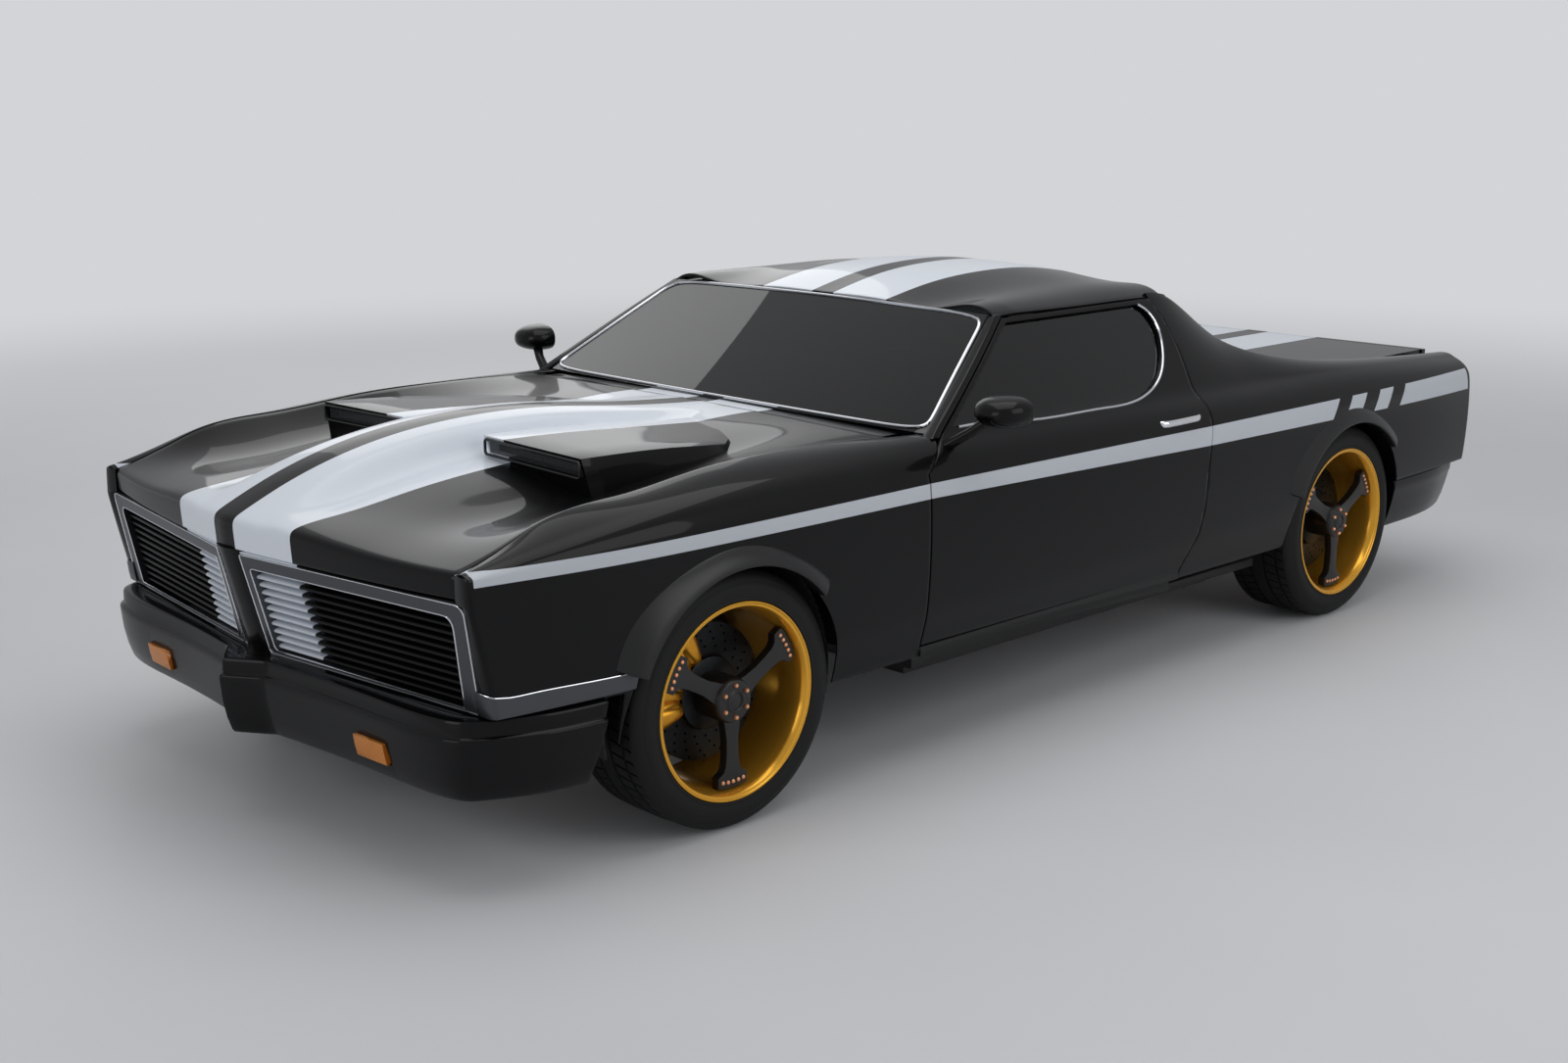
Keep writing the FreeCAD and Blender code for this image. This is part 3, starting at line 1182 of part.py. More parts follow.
def make_dashboard():
    board = block(-740, 740, door_front + 30 + seat_clear, -420, 640, belt - 62)
    board = board.fuse(block(-700, 700, -600, -430, belt - 63, belt - 30))
    column = Part.makeCylinder(24, 260, Vector(400, -440, 760), Vector(0, 0.94, 0.34))
    ring = Part.makeTorus(180, 14, Vector(400, -200, 846), Vector(0, 0.94, 0.34))
    hub = Part.makeCylinder(40, 30, Vector(400, -210, 842), Vector(0, 0.94, 0.34))
    bars = [Part.makeCylinder(10, 178, Vector(400, -198, 848), direction)
            for direction in (Vector(1, 0, 0), Vector(-1, 0, 0), Vector(0, 0.34, -0.94))]
    return board.fuse([column, ring, hub] + bars).removeSplitter()


add_feature("dashboard", make_dashboard())
doc.recompute()

NODES = (
    "roof", "quarter_left", "quarter_right", "fender_left", "fender_right", "floor_pan", "cowl", "nose_panel",
    "rear_deck", "front_bumper", "rear_bumper", "grille", "grille_surround", "windshield", "rear_window",
    "front_lamps", "tail_lamps", "seats", "dashboard", "drivetrain", "exhaust", "rear_axle",
    "front_suspension", "hood", "scoop_mesh", "trunk_lid", "door_left", "door_right", "door_glass_left",
    "door_glass_right", "knuckle_left", "knuckle_right",
) + tuple(f"{piece}_{wheel[0]}" for wheel in WHEELS for piece in ("tyre", "rim", "spider"))

for item in doc.Objects:
    if "Invalid" in item.State or "Error" in item.State:
        raise RuntimeError(f"{item.Label} failed: {item.State}")
for node in NODES:
    shape = doc.getObjectsByLabel(node)[0].Shape
    if shape.isNull() or not shape.isValid():
        raise RuntimeError(f"{node} has no valid shape")
    if not shape.Solids:
        raise RuntimeError(f"{node} holds no solid")
for node in NODES:
    doc.getObjectsByLabel(node)[0].Shape.exportStep(f"parts/{node}.step")
print(len(NODES), "nodes written")
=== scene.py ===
import json
import math

import bpy
import numpy as np
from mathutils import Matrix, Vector

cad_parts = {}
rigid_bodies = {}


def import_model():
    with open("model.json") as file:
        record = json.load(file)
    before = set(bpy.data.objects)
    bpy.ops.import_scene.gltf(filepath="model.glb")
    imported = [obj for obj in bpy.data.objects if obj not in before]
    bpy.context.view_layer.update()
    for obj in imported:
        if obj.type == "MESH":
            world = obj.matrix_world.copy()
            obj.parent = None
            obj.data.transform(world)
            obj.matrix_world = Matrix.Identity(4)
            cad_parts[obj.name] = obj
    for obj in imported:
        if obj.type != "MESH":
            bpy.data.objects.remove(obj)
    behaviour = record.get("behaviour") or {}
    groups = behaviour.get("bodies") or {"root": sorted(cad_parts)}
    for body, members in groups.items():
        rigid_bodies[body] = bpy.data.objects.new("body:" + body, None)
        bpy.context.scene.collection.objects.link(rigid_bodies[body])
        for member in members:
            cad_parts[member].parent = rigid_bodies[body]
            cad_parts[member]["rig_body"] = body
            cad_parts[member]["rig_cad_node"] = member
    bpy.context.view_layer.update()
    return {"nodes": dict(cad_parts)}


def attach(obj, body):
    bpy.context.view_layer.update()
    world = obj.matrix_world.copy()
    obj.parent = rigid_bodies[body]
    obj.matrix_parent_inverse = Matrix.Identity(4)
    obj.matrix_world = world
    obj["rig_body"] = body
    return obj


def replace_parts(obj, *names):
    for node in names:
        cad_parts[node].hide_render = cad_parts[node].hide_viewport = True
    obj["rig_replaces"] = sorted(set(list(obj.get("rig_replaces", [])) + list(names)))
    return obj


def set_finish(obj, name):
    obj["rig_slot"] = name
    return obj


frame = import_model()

# The studio: a pale floor that runs out of sight, soft lamps overhead and at the sides, and the
# camera where the photographer stood, low off the car's left front corner.

camera_place = Vector((4.28895, -4.51589, 1.84972))
camera_azimuth = math.radians(45.888)
camera_elevation = math.radians(13.372)
camera_lens = 45.264
floor_size = 60
backdrop_colour = "#D3D4D7"
floor_light, floor_dark = "#DCDDDF", "#D2D3D6"
fade_from, fade_to = 2.8, 11.0
world_light = 0.50
mirrored_light = 0.75

bpy.ops.object.select_all(action="DESELECT")
bpy.ops.object.camera_add(location=camera_place)
camera = bpy.context.object
camera.name = "camera"
camera.data.sensor_width = 36
camera.data.lens = camera_lens
back = Vector((math.sin(camera_azimuth) * math.cos(camera_elevation),
               -math.cos(camera_azimuth) * math.cos(camera_elevation),
               math.sin(camera_elevation)))
camera.rotation_euler = (-back).to_track_quat("-Z", "Y").to_euler()
bpy.context.scene.camera = camera
bpy.context.scene.view_settings.view_transform = "Standard"


def linear(hex_colour, alpha=1.0):
    """A sRGB hex colour as the linear values that a shader takes."""
    parts = [int(hex_colour[place:place + 2], 16) / 255 for place in (1, 3, 5)]
    return tuple(c / 12.92 if c <= 0.04045 else ((c + 0.055) / 1.055) ** 2.4 for c in parts) + (alpha,)


def add_node(material, kind, inputs=None, **settings):
    """Adds a node with its settings; inputs are values, or sockets that it is linked to."""
    tree = material.node_tree
    node = tree.nodes.new(kind)
    for name, setting in settings.items():
        setattr(node, name, setting)
    for name, given in (inputs or {}).items():
        if isinstance(given, bpy.types.NodeSocket):
            tree.links.new(given, node.inputs[name])
        else:
            node.inputs[name].default_value = given
    return node


def new_material(name):
    """An empty material with its output, ready for its shader."""
    material = bpy.data.materials.new(name)
    material.use_nodes = True
    material.node_tree.nodes.clear()
    return material


def finish_material(material, shader):
    """Links the last shader to the output."""
    add_node(material, "ShaderNodeOutputMaterial", {"Surface": shader})
    return material


bpy.ops.mesh.primitive_plane_add(size=floor_size, location=(0, 0, -0.0005))
studio_floor = bpy.context.object
studio_floor.name = "studio_floor"
# Matt paint takes a soft shadow and hardly a reflection.
floor_paint = new_material("matt floor paint that runs into the pale backdrop")
floor_place = add_node(floor_paint, "ShaderNodeTexCoord").outputs["Object"]
floor_noise = add_node(floor_paint, "ShaderNodeTexNoise",
                       {"Vector": floor_place, "Scale": 0.8, "Detail": 3.0})
floor_shader = add_node(floor_paint, "ShaderNodeBsdfPrincipled", {
    "Base Color": add_node(floor_paint, "ShaderNodeMixRGB",
                           {"Fac": floor_noise.outputs["Fac"], "Color1": linear(floor_light),
                            "Color2": linear(floor_dark)}).outputs["Color"],
    "Roughness": 0.55})
floor_far = add_node(floor_paint, "ShaderNodeVectorMath", {0: floor_place}, operation="LENGTH")
floor_fade = add_node(floor_paint, "ShaderNodeMapRange", {
    "Value": floor_far.outputs["Value"], "From Min": fade_from, "From Max": fade_to},
    interpolation_type="SMOOTHSTEP")
floor_glow = add_node(floor_paint, "ShaderNodeEmission", {"Color": linear(backdrop_colour), "Strength": 1.0})
path = add_node(floor_paint, "ShaderNodeLightPath").outputs
floor_seen = add_node(floor_paint, "ShaderNodeMath", {0: path["Is Camera Ray"], 1: path["Is Glossy Ray"]},
                      operation="MAXIMUM").outputs["Value"]
floor_seen = add_node(floor_paint, "ShaderNodeMath", {0: floor_seen, 1: path["Is Transmission Ray"]},
                      operation="MAXIMUM").outputs["Value"]
floor_both = add_node(floor_paint, "ShaderNodeMixShader", {
    0: add_node(floor_paint, "ShaderNodeMath", {0: floor_fade.outputs["Result"], 1: floor_seen},
                operation="MULTIPLY").outputs["Value"],
    1: floor_shader.outputs["BSDF"], 2: floor_glow.outputs["Emission"]})
finish_material(floor_paint, floor_both.outputs["Shader"])
studio_floor.data.materials.append(floor_paint)

world = bpy.data.worlds.new("studio")
bpy.context.scene.world = world
world.use_nodes = True
world.node_tree.nodes.clear()
path = add_node(world, "ShaderNodeLightPath").outputs
seen = add_node(world, "ShaderNodeMath", {0: path["Is Camera Ray"], 1: path["Is Transmission Ray"]},
                operation="MAXIMUM").outputs["Value"]
mirrored = add_node(world, "ShaderNodeMath", {0: path["Is Glossy Ray"], 1: mirrored_light},
                    operation="MULTIPLY").outputs["Value"]
seen = add_node(world, "ShaderNodeMath", {0: seen, 1: mirrored}, operation="MAXIMUM").outputs["Value"]
seen = add_node(world, "ShaderNodeMath", {0: seen, 1: world_light}, operation="MAXIMUM").outputs["Value"]
backdrop = add_node(world, "ShaderNodeBackground", {"Color": linear(backdrop_colour), "Strength": seen})
add_node(world, "ShaderNodeOutputWorld", {"Surface": backdrop.outputs["Background"]})

for lamp_name, place, lamp_size, power in (
        ("overhead_lamp", (0.3, -0.3, 5.6), 5.0, 125),
        ("left_lamp", (6.0, 0.5, 3.4), 4.0, 80),
        ("nose_lamp", (0.5, -7.5, 2.8), 3.5, 70),
        ("far_lamp", (-5.5, 2.5, 3.6), 4.0, 60)):
    bpy.ops.object.light_add(type="AREA", location=place)
    lamp = bpy.context.object
    lamp.name = lamp_name
    lamp.data.size = lamp_size
    lamp.data.energy = power
    lamp.rotation_euler = (Vector((0, 0, 0.5)) - Vector(place)).to_track_quat("-Z", "Y").to_euler()

# The painted steel body: deep gloss black two-pack paint under clear lacquer, with ice-white
# stripes sprayed over hood, roof and deck, and a silver stripe laid along each side.

stripe_from = 0.045
stripe_to = 0.266
paint_black = "#050506"
stripe_white = "#DCE2EA"
stripe_silver = "#C3C8CF"
lacquer_roughness = 0.04
paint_cloud = "#08080A"
side_stripe_from, side_stripe_to = -2.128, 2.243


def paint_shader(material, colour):
    """Lacquered paint: a soft-gloss colour coat, under a clear coat with a little orange peel."""
    peel = add_node(material, "ShaderNodeTexNoise", {
        "Vector": add_node(material, "ShaderNodeTexCoord").outputs["Object"], "Scale": 260.0, "Detail": 1.0})
    bump = add_node(material, "ShaderNodeBump", {"Height": peel.outputs["Fac"], "Strength": 0.012,
                                                 "Distance": 0.001})
    shader = add_node(material, "ShaderNodeBsdfPrincipled", {
        "Base Color": colour, "Roughness": 0.36, "Specular IOR Level": 0.08, "Coat Weight": 0.45,
        "Coat IOR": 1.35, "Coat Roughness": lacquer_roughness,
        "Normal": bump.outputs["Normal"], "Coat Normal": bump.outputs["Normal"]})
    return finish_material(material, shader.outputs["BSDF"])


def black_with_tone(material):
    """Black paint with the faint cloudiness that it shows in a large reflection."""
    cloud = add_node(material, "ShaderNodeTexNoise", {
        "Vector": add_node(material, "ShaderNodeTexCoord").outputs["Object"], "Scale": 1.3, "Detail": 2.0})
    return add_node(material, "ShaderNodeMixRGB", {"Fac": cloud.outputs["Fac"], "Color1": linear(paint_black),
                                                   "Color2": linear(paint_cloud)}).outputs["Color"]


# The clear coat gives clear reflections on a deep black.
plain_paint = new_material("black lacquered paint")
paint_shader(plain_paint, black_with_tone(plain_paint))

# The white stripes lie under the same clear coat, so they gloss like the black.
striped_paint = new_material("black lacquered paint with white stripes")
apart = add_node(striped_paint, "ShaderNodeSeparateXYZ",
                 {"Vector": add_node(striped_paint, "ShaderNodeTexCoord").outputs["Object"]}).outputs
from_middle = add_node(striped_paint, "ShaderNodeMath", {0: apart["X"]}, operation="ABSOLUTE").outputs["Value"]
in_stripe = add_node(striped_paint, "ShaderNodeMath", {
    0: from_middle, 1: (stripe_from + stripe_to) / 2, 2: (stripe_to - stripe_from) / 2},
    operation="COMPARE").outputs["Value"]
striped = add_node(striped_paint, "ShaderNodeMixRGB", {
    "Fac": in_stripe, "Color1": black_with_tone(striped_paint), "Color2": linear(stripe_white)})
paint_shader(striped_paint, striped.outputs["Color"])

# The silver stripe and its bars lie under the clear coat too.
side_paint = new_material("black lacquered paint with a silver side stripe")
apart = add_node(side_paint, "ShaderNodeSeparateXYZ",
                 {"Vector": add_node(side_paint, "ShaderNodeTexCoord").outputs["Object"]}).outputs


def line_height(material, points):
    """The height of a line along the car, through (place, height) points, read from a ramp."""
    low, high = points[0][0], points[-1][0]
    share = add_node(material, "ShaderNodeMapRange", {"Value": apart["Y"], "From Min": low, "From Max": high})
    ramp = add_node(material, "ShaderNodeValToRGB", {"Fac": share.outputs["Result"]})
    elements = ramp.color_ramp.elements
    for index, (place, height) in enumerate(points):
        at = (place - low) / (high - low)
        element = elements[0] if index == 0 else elements.new(at) if index < len(points) - 1 else elements[-1]
        element.position = at
        element.color = (height, height, height, 1)
    return ramp.outputs["Color"]


stripe_top = line_height(side_paint, [(-2.14, 0.773), (-0.70, 0.777), (0.54, 0.767), (2.29, 0.765)])
stripe_low = line_height(side_paint, [(-2.14, 0.742), (-0.70, 0.737), (0.54, 0.709), (2.29, 0.691)])
in_band = add_node(side_paint, "ShaderNodeMath", {0: apart["Z"], 1: stripe_top},
                   operation="LESS_THAN").outputs["Value"]
for operation, given, limit in (("GREATER_THAN", apart["Z"], stripe_low),
                                ("GREATER_THAN", apart["Y"], side_stripe_from),
                                ("LESS_THAN", apart["Y"], side_stripe_to)):
    within = add_node(side_paint, "ShaderNodeMath", {0: given, 1: limit}, operation=operation).outputs["Value"]
    in_band = add_node(side_paint, "ShaderNodeMath", {0: in_band, 1: within},
                       operation="MULTIPLY").outputs["Value"]
slanted = add_node(side_paint, "ShaderNodeMath", {0: apart["Z"], 1: -0.77, 2: apart["Y"]},
                   operation="MULTIPLY_ADD").outputs["Value"]
for bar_middle, bar_half in ((0.763, 0.041), (0.944, 0.0445), (1.122, 0.043)):
    in_bar = add_node(side_paint, "ShaderNodeMath", {0: slanted, 1: bar_middle, 2: bar_half},
                      operation="COMPARE").outputs["Value"]
    in_band = add_node(side_paint, "ShaderNodeMath", {0: in_band, 1: in_bar}, operation="SUBTRACT",
                       use_clamp=True).outputs["Value"]
paint_shader(side_paint, add_node(side_paint, "ShaderNodeMixRGB",
                                  {"Fac": in_band, "Color1": black_with_tone(side_paint),
                                   "Color2": linear(stripe_silver)}).outputs["Color"])


def chosen(piece):
    """Makes a piece the only one selected, and the active one."""
    bpy.ops.object.select_all(action="DESELECT")
    piece.select_set(True)
    bpy.context.view_layer.objects.active = piece


def copied(piece, name):
    """A copy of a piece with a mesh of its own, that stands for nothing yet."""
    copy = piece.copy()
    copy.data = piece.data.copy()
    copy.name = name
    bpy.context.scene.collection.objects.link(copy)
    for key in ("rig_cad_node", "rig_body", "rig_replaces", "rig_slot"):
        if key in copy:
            del copy[key]
    return copy


def placed(piece, body, material, slot, crease=40, node=None):
    """Shading smooth by angle, a finish and a body, and the CAD node that the piece stands for, if any."""
    chosen(piece)
    bpy.ops.object.shade_smooth_by_angle(angle=math.radians(crease))
    piece.data.materials.clear()
    piece.data.materials.append(material)
    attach(piece, body)
    if node:
        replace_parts(piece, node)
    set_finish(piece, slot)
    return piece


def dressed(node, material, slot):
    """A smooth copy of a CAD node, merged, in its own finish, that stands for the node."""
    original = frame["nodes"][node]
    copy = copied(original, node + "_dressed")
    chosen(copy)
    bpy.ops.object.mode_set(mode="EDIT")
    bpy.ops.mesh.select_all(action="SELECT")
    bpy.ops.mesh.remove_doubles(threshold=0.00002)
    bpy.ops.object.mode_set(mode="OBJECT")
    return placed(copy, original["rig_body"], material, slot, 35, node)


for node in ("cowl", "nose_panel", "rear_deck", "trunk_lid"):
    dressed(node, striped_paint, "body_paint")


# The body side: one long pressed shape that fender, door and quarter share, from the sill over the
# tuck-under, the flank and the shoulder to the hood, the roof rail or the buttress.

axle_place = 1.4
axle_height = 0.329
half_width = 0.932
roof_half = 0.690
roof_edge = 1.148
belt = 0.872
crease_height = 0.757
tuck_height = 0.421
sill_height = 0.298


def line_through(points):
    """A smooth line through (place, amount) points: a natural cubic spline, as a function of the place."""
    places = np.array([place for place, _ in points])
    amounts = np.array([amount for _, amount in points])
    steps = np.diff(places)
    slopes = np.diff(amounts) / steps
    count = len(places)
    system = np.eye(count)
    right = np.zeros(count)
    for row in range(1, count - 1):
        system[row, row - 1:row + 2] = steps[row - 1], 2 * (steps[row - 1] + steps[row]), steps[row]
        right[row] = 3 * (slopes[row] - slopes[row - 1])
    bends = np.linalg.solve(system, right)

    def at(place):
        """The amount at a place along the line."""
        index = int(np.clip(np.searchsorted(places, place) - 1, 0, count - 2))
        step, along = steps[index], place - places[index]
        first = slopes[index] - step * (2 * bends[index] + bends[index + 1]) / 3
        third = (bends[index + 1] - bends[index]) / (3 * step)
        return amounts[index] + first * along + bends[index] * along ** 2 + third * along ** 3

    return at


def curve_through(points, count=90):
    """A smooth curve through points, as many points apart in even steps."""
    travelled = [0.0]
    for here, following in zip(points, points[1:]):
        travelled.append(travelled[-1] + math.hypot(following[0] - here[0], following[1] - here[1]))
    first, second = (line_through([(t, point[axis]) for t, point in zip(travelled, points)])
                     for axis in (0, 1))
    return [(first(t), second(t)) for t in np.linspace(0, travelled[-1], count)]


crease_x = line_through([(-2.33, 0.836), (-2.13, 0.860), (-1.85, 0.903), (-1.40, 0.928), (-0.70, 0.932),
                         (0.50, 0.934), (1.40, 0.936), (2.00, 0.922), (2.33, 0.898)])
crease_z = line_through([(-2.33, 0.752), (-2.13, 0.757), (-1.85, 0.765), (-1.40, 0.767), (-0.70, 0.757),
                         (0.50, 0.737), (1.40, 0.731), (2.33, 0.727)])
shoulder_x = line_through([(-2.33, 0.820), (-2.13, 0.840), (-1.85, 0.866), (-1.40, 0.872), (-0.70, 0.858),
                           (0.0, 0.859), (0.55, 0.854), (1.00, 0.856), (1.40, 0.864), (2.00, 0.850),
                           (2.33, 0.828)])
shoulder_z = line_through([(-2.33, 0.759), (-2.13, 0.768), (-1.985, 0.795), (-1.65, 0.840), (-1.40, 0.857),
                           (-1.10, 0.866), (-0.70, 0.872), (0.0, 0.868), (0.55, 0.862), (1.00, 0.850),
                           (1.40, 0.842), (1.80, 0.826), (2.33, 0.796)])
crest_x = line_through([(-2.33, 0.790), (-2.13, 0.808), (-1.90, 0.800), (-1.65, 0.790), (-1.38, 0.772),
                        (-1.10, 0.766), (-0.85, 0.772), (-0.70, 0.780), (-0.40, 0.792)])
crest_z = line_through([(-2.33, 0.748), (-2.13, 0.765), (-1.985, 0.810), (-1.90, 0.842), (-1.65, 0.868),
                        (-1.38, 0.891), (-1.10, 0.895), (-0.85, 0.888), (-0.70, 0.880), (-0.40, 0.874)])
rail_x = line_through([(0.45, 0.688), (0.62, 0.686), (0.74, 0.696), (0.86, 0.720), (1.00, 0.752),
                       (1.20, 0.776),
                       (1.50, 0.782), (1.90, 0.780), (2.33, 0.774)])
rail_z = line_through([(0.45, 1.152), (0.62, 1.146), (0.74, 1.082), (0.86, 1.000), (1.00, 0.942),
                       (1.20, 0.898),
                       (1.50, 0.862), (1.90, 0.832), (2.33, 0.808)])


def arc_through(start, middle, end, count):
    """Points of the parabola through three (x, z) points, without the last."""
    points = []
    for step in range(count):
        t = step / count
        weights = ((1 - t) * (1 - 2 * t), 4 * t * (1 - t), t * (2 * t - 1))
        points.append(tuple(weights[0] * a + weights[1] * b + weights[2] * c
                            for a, b, c in zip(start, middle, end)))
    return points


def softened(points, passes):
    """The same run of points with its corners eased, its ends kept."""
    run = np.array(points)
    for _ in range(passes):
        run[1:-1] = run[1:-1] * 0.5 + (run[:-2] + run[2:]) * 0.25
    return run


def side_run(y, top_x, top_z):
    """The side's outline at a place along the car, from the sill up, as (x, z) points."""
    crease = (crease_x(y), crease_z(y))
    tuck = (crease[0] - 0.004, tuck_height)
    sill = (crease[0] - 0.0357, sill_height)
    shoulder = (shoulder_x(y), shoulder_z(y))
    between = (crease[0] * 0.72 + shoulder[0] * 0.28,
               (crease[1] + shoulder[1]) / 2 + 0.1 * (shoulder[1] - crease[1]))
    over = ((shoulder[0] + top_x) / 2 + 0.005, (shoulder[1] + top_z) / 2 + 0.005)
    middle = (crease[0] + 0.005, (tuck_height + crease_height) / 2)
    run = arc_through(sill, tuple((a + b) / 2 for a, b in zip(sill, tuck)), tuck, 8)
    run += arc_through(tuck, middle, crease, 20)
    run += arc_through(crease, between, shoulder, 10)
    run += arc_through(shoulder, over, (top_x, top_z), 20)
    run.append((top_x, top_z))
    return softened(run, 3)


def sheet(name, rows, columns, place):
    """A fine grid whose points are put at place(row share, column share)."""
    bpy.ops.object.select_all(action="DESELECT")
    bpy.ops.mesh.primitive_grid_add(x_subdivisions=columns, y_subdivisions=rows, size=1)
    piece = bpy.context.object
    piece.name = name
    for vertex in piece.data.vertices:
        vertex.co = place(vertex.co.y + 0.5, vertex.co.x + 0.5)
    return piece


def applied(piece, kind, **settings):
    """Adds a modifier with its settings and applies it."""
    chosen(piece)
    modifier = piece.modifiers.new(kind.lower(), kind)
    for setting, amount in settings.items():
        setattr(modifier, setting, amount)
    bpy.ops.object.modifier_apply(modifier=modifier.name)
    return piece


def bevelled(piece, width, segments=3, angle=35):
    """Eases the edges that turn by more than an angle."""
    return applied(piece, "BEVEL", width=width, segments=segments, limit_method="ANGLE",
                   angle_limit=math.radians(angle))


def side_sheet(name, y_from, y_to, step, top_x, top_z, wall):
    """A length of the body side as a pressed sheet with its wall inside."""
    rows = round((y_to - y_from) / step)
    runs = [side_run(y_from + (y_to - y_from) * row / rows, top_x(y_from + (y_to - y_from) * row / rows),
                     top_z(y_from + (y_to - y_from) * row / rows)) for row in range(rows + 1)]
    last = len(runs[0]) - 1

    def place(row_share, column_share):
        """A place on the sheet by its shares along the car and down the side."""
        row = round(row_share * rows)
        x, z = runs[row][last - round(column_share * last)]
        return (x, y_from + (y_to - y_from) * row / rows, z)

    piece = sheet(name, rows, last, place)
    return applied(piece, "SOLIDIFY", thickness=wall, offset=-1.0, use_even_offset=True)


def prism(outline, x_from=0.4, x_to=1.1, slant=0.0):
    """A bar or cutter: an outline of (y, z) points pushed across the car, slanted rearwards if asked."""
    bpy.ops.object.select_all(action="DESELECT")
    bpy.ops.mesh.primitive_circle_add(vertices=len(outline), fill_type="NGON")
    cutter = bpy.context.object
    for vertex, (y, z) in zip(cutter.data.vertices, outline):
        vertex.co = (x_from, y, z)
    bpy.ops.object.mode_set(mode="EDIT")
    bpy.ops.mesh.select_all(action="SELECT")
    bpy.ops.mesh.extrude_region_move(TRANSFORM_OT_translate={
        "value": (x_to - x_from, slant * (x_to - x_from), 0)})
    bpy.ops.mesh.select_all(action="SELECT")
    bpy.ops.mesh.normals_make_consistent(inside=False)
    bpy.ops.object.mode_set(mode="OBJECT")
    return cutter


def trimmed(piece, cutter, operation):
    """Cuts a piece with a cutter, which is then removed."""
    applied(piece, "BOOLEAN", object=cutter, operation=operation, solver="EXACT")
    bpy.data.objects.remove(cutter)
    return piece


def loft(name, rings, closed=False):
    """A solid whose skin runs through rings of points, each ring closed, its ends filled unless it closes."""
    rows = len(rings) if closed else len(rings) - 1
    columns = len(rings[0])
    piece = sheet(name, rows, columns, lambda row, column: rings[round(row * rows) % len(rings)][
        round(column * columns) % columns])
    bpy.ops.object.mode_set(mode="EDIT")
    bpy.ops.mesh.select_all(action="SELECT")
    bpy.ops.mesh.remove_doubles(threshold=0.000001)
    if not closed:
        bpy.ops.mesh.fill_holes(sides=0)
    bpy.ops.mesh.select_all(action="SELECT")
    bpy.ops.mesh.normals_make_consistent(inside=False)
    bpy.ops.object.mode_set(mode="OBJECT")
    return piece


def swept(name, path, profile, closed=False, up=(0, 0, 1)):
    """A profile of (across, up) points carried along a path of points."""
    path = [Vector(point) for point in path]
    rings = []
    for index, point in enumerate(path):
        ahead = path[(index + 1) % len(path)] if closed else path[min(index + 1, len(path) - 1)]
        behind = path[index - 1] if closed else path[max(index - 1, 0)]
        along = (ahead - behind).normalized()
        across = along.cross(Vector(up)).normalized()
        high = across.cross(along)
        rings.append([tuple(point + across * a + high * b) for a, b in profile])
    return loft(name, rings, closed)


def round_profile(radius, count=10, flat_by=1.0):
    """A round or oval profile for a swept bead."""
    turns = [2 * math.pi * step / count for step in range(count)]
    return [(radius * math.cos(turn), radius * flat_by * math.sin(turn)) for turn in turns]


def joined(pieces, name):
    """Several pieces as one."""
    bpy.ops.object.select_all(action="DESELECT")
    for piece in pieces:
        piece.select_set(True)
    bpy.context.view_layer.objects.active = pieces[0]
    bpy.ops.object.join()
    pieces[0].name = name
    return pieces[0]


def skin_at(y, z, top_x, top_z):
    """How far out the body side stands at a place along the car and a height."""
    run = side_run(y, top_x(y), top_z(y))
    return float(np.interp(z, run[:, 1], run[:, 0]))


arch_edge = 0.345
flare_root = line_through([(41, 0.394), (60, 0.388), (90, 0.396), (117, 0.404), (135, 0.420), (145, 0.424),
                           (157, 0.412)])


def arch_flare(name, axle, top_x, top_z):
    """The flare over a wheel arch, from low in front of the wheel to a chopped end high behind it."""
    rings = []
    for turn in np.linspace(41, 157, 70):
        ring = []
        root = flare_root(turn)
        for radius, out in ((root, None), (0.375, 0.949), (0.352, 0.9575), (arch_edge, 0.9575),
                            (arch_edge, 0.915), (0.360, 0.905), (root, 0.905)):
            y = axle + radius * math.cos(math.radians(turn))
            z = axle_height + radius * math.sin(math.radians(turn))
            ring.append((skin_at(y, z, top_x, top_z) - 0.0005 if out is None else out, y, z))
        rings.append(ring)
    return loft(name, rings)


def wheel_cutter(y, side=1):
    """A drum that cuts a wheel arch."""
    bpy.ops.object.select_all(action="DESELECT")
    bpy.ops.mesh.primitive_cylinder_add(vertices=128, radius=arch_edge, depth=0.8,
                                        location=(0.9 * side, y, axle_height), rotation=(0, math.pi / 2, 0))
    return bpy.context.object


def finished(piece, node, material, slot, bevel=0.0):
    """A piece that stands for a CAD node: edges eased, finish, and the node's body."""
    if bevel:
        bevelled(piece, bevel, 2, 40)
    return placed(piece, frame["nodes"][node]["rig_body"], material, slot, node=node)


def other_side(piece, name):
    """The same piece for the car's right side."""
    copy = copied(piece, name)
    copy.parent = None
    for vertex in copy.data.vertices:
        vertex.co.x = -vertex.co.x
    copy.data.flip_normals()
    return copy


gap = 0.006
door_front = -0.720
door_rear = 0.560
door_bottom = 0.332
pillar_depth = 0.014
screen_low = (-0.632, belt + 0.010)
screen_high = (-0.196, roof_edge + 0.002)
screen_slope = math.atan2(screen_high[1] - screen_low[1], screen_high[0] - screen_low[0])


def behind_screen(depth, z):
    """The place along the car that lies a depth behind the windscreen's edge, at a height."""
    return screen_low[0] + (z - screen_low[1]) / math.tan(screen_slope) + depth / math.sin(screen_slope)


def door_outline(grow):
    """The door's front, lower and upper shut lines, grown by an amount."""
    front, low, top = door_front - grow, door_bottom - grow, roof_edge - 0.006 + grow
    edge, far, foot = pillar_depth + gap - grow, door_rear + 0.3, belt + 0.006
    return [(front - 0.006, low), (far, low - 0.008), (far, top), (behind_screen(edge, top), top),
            (behind_screen(edge, foot), foot), (front, belt - 0.070)]


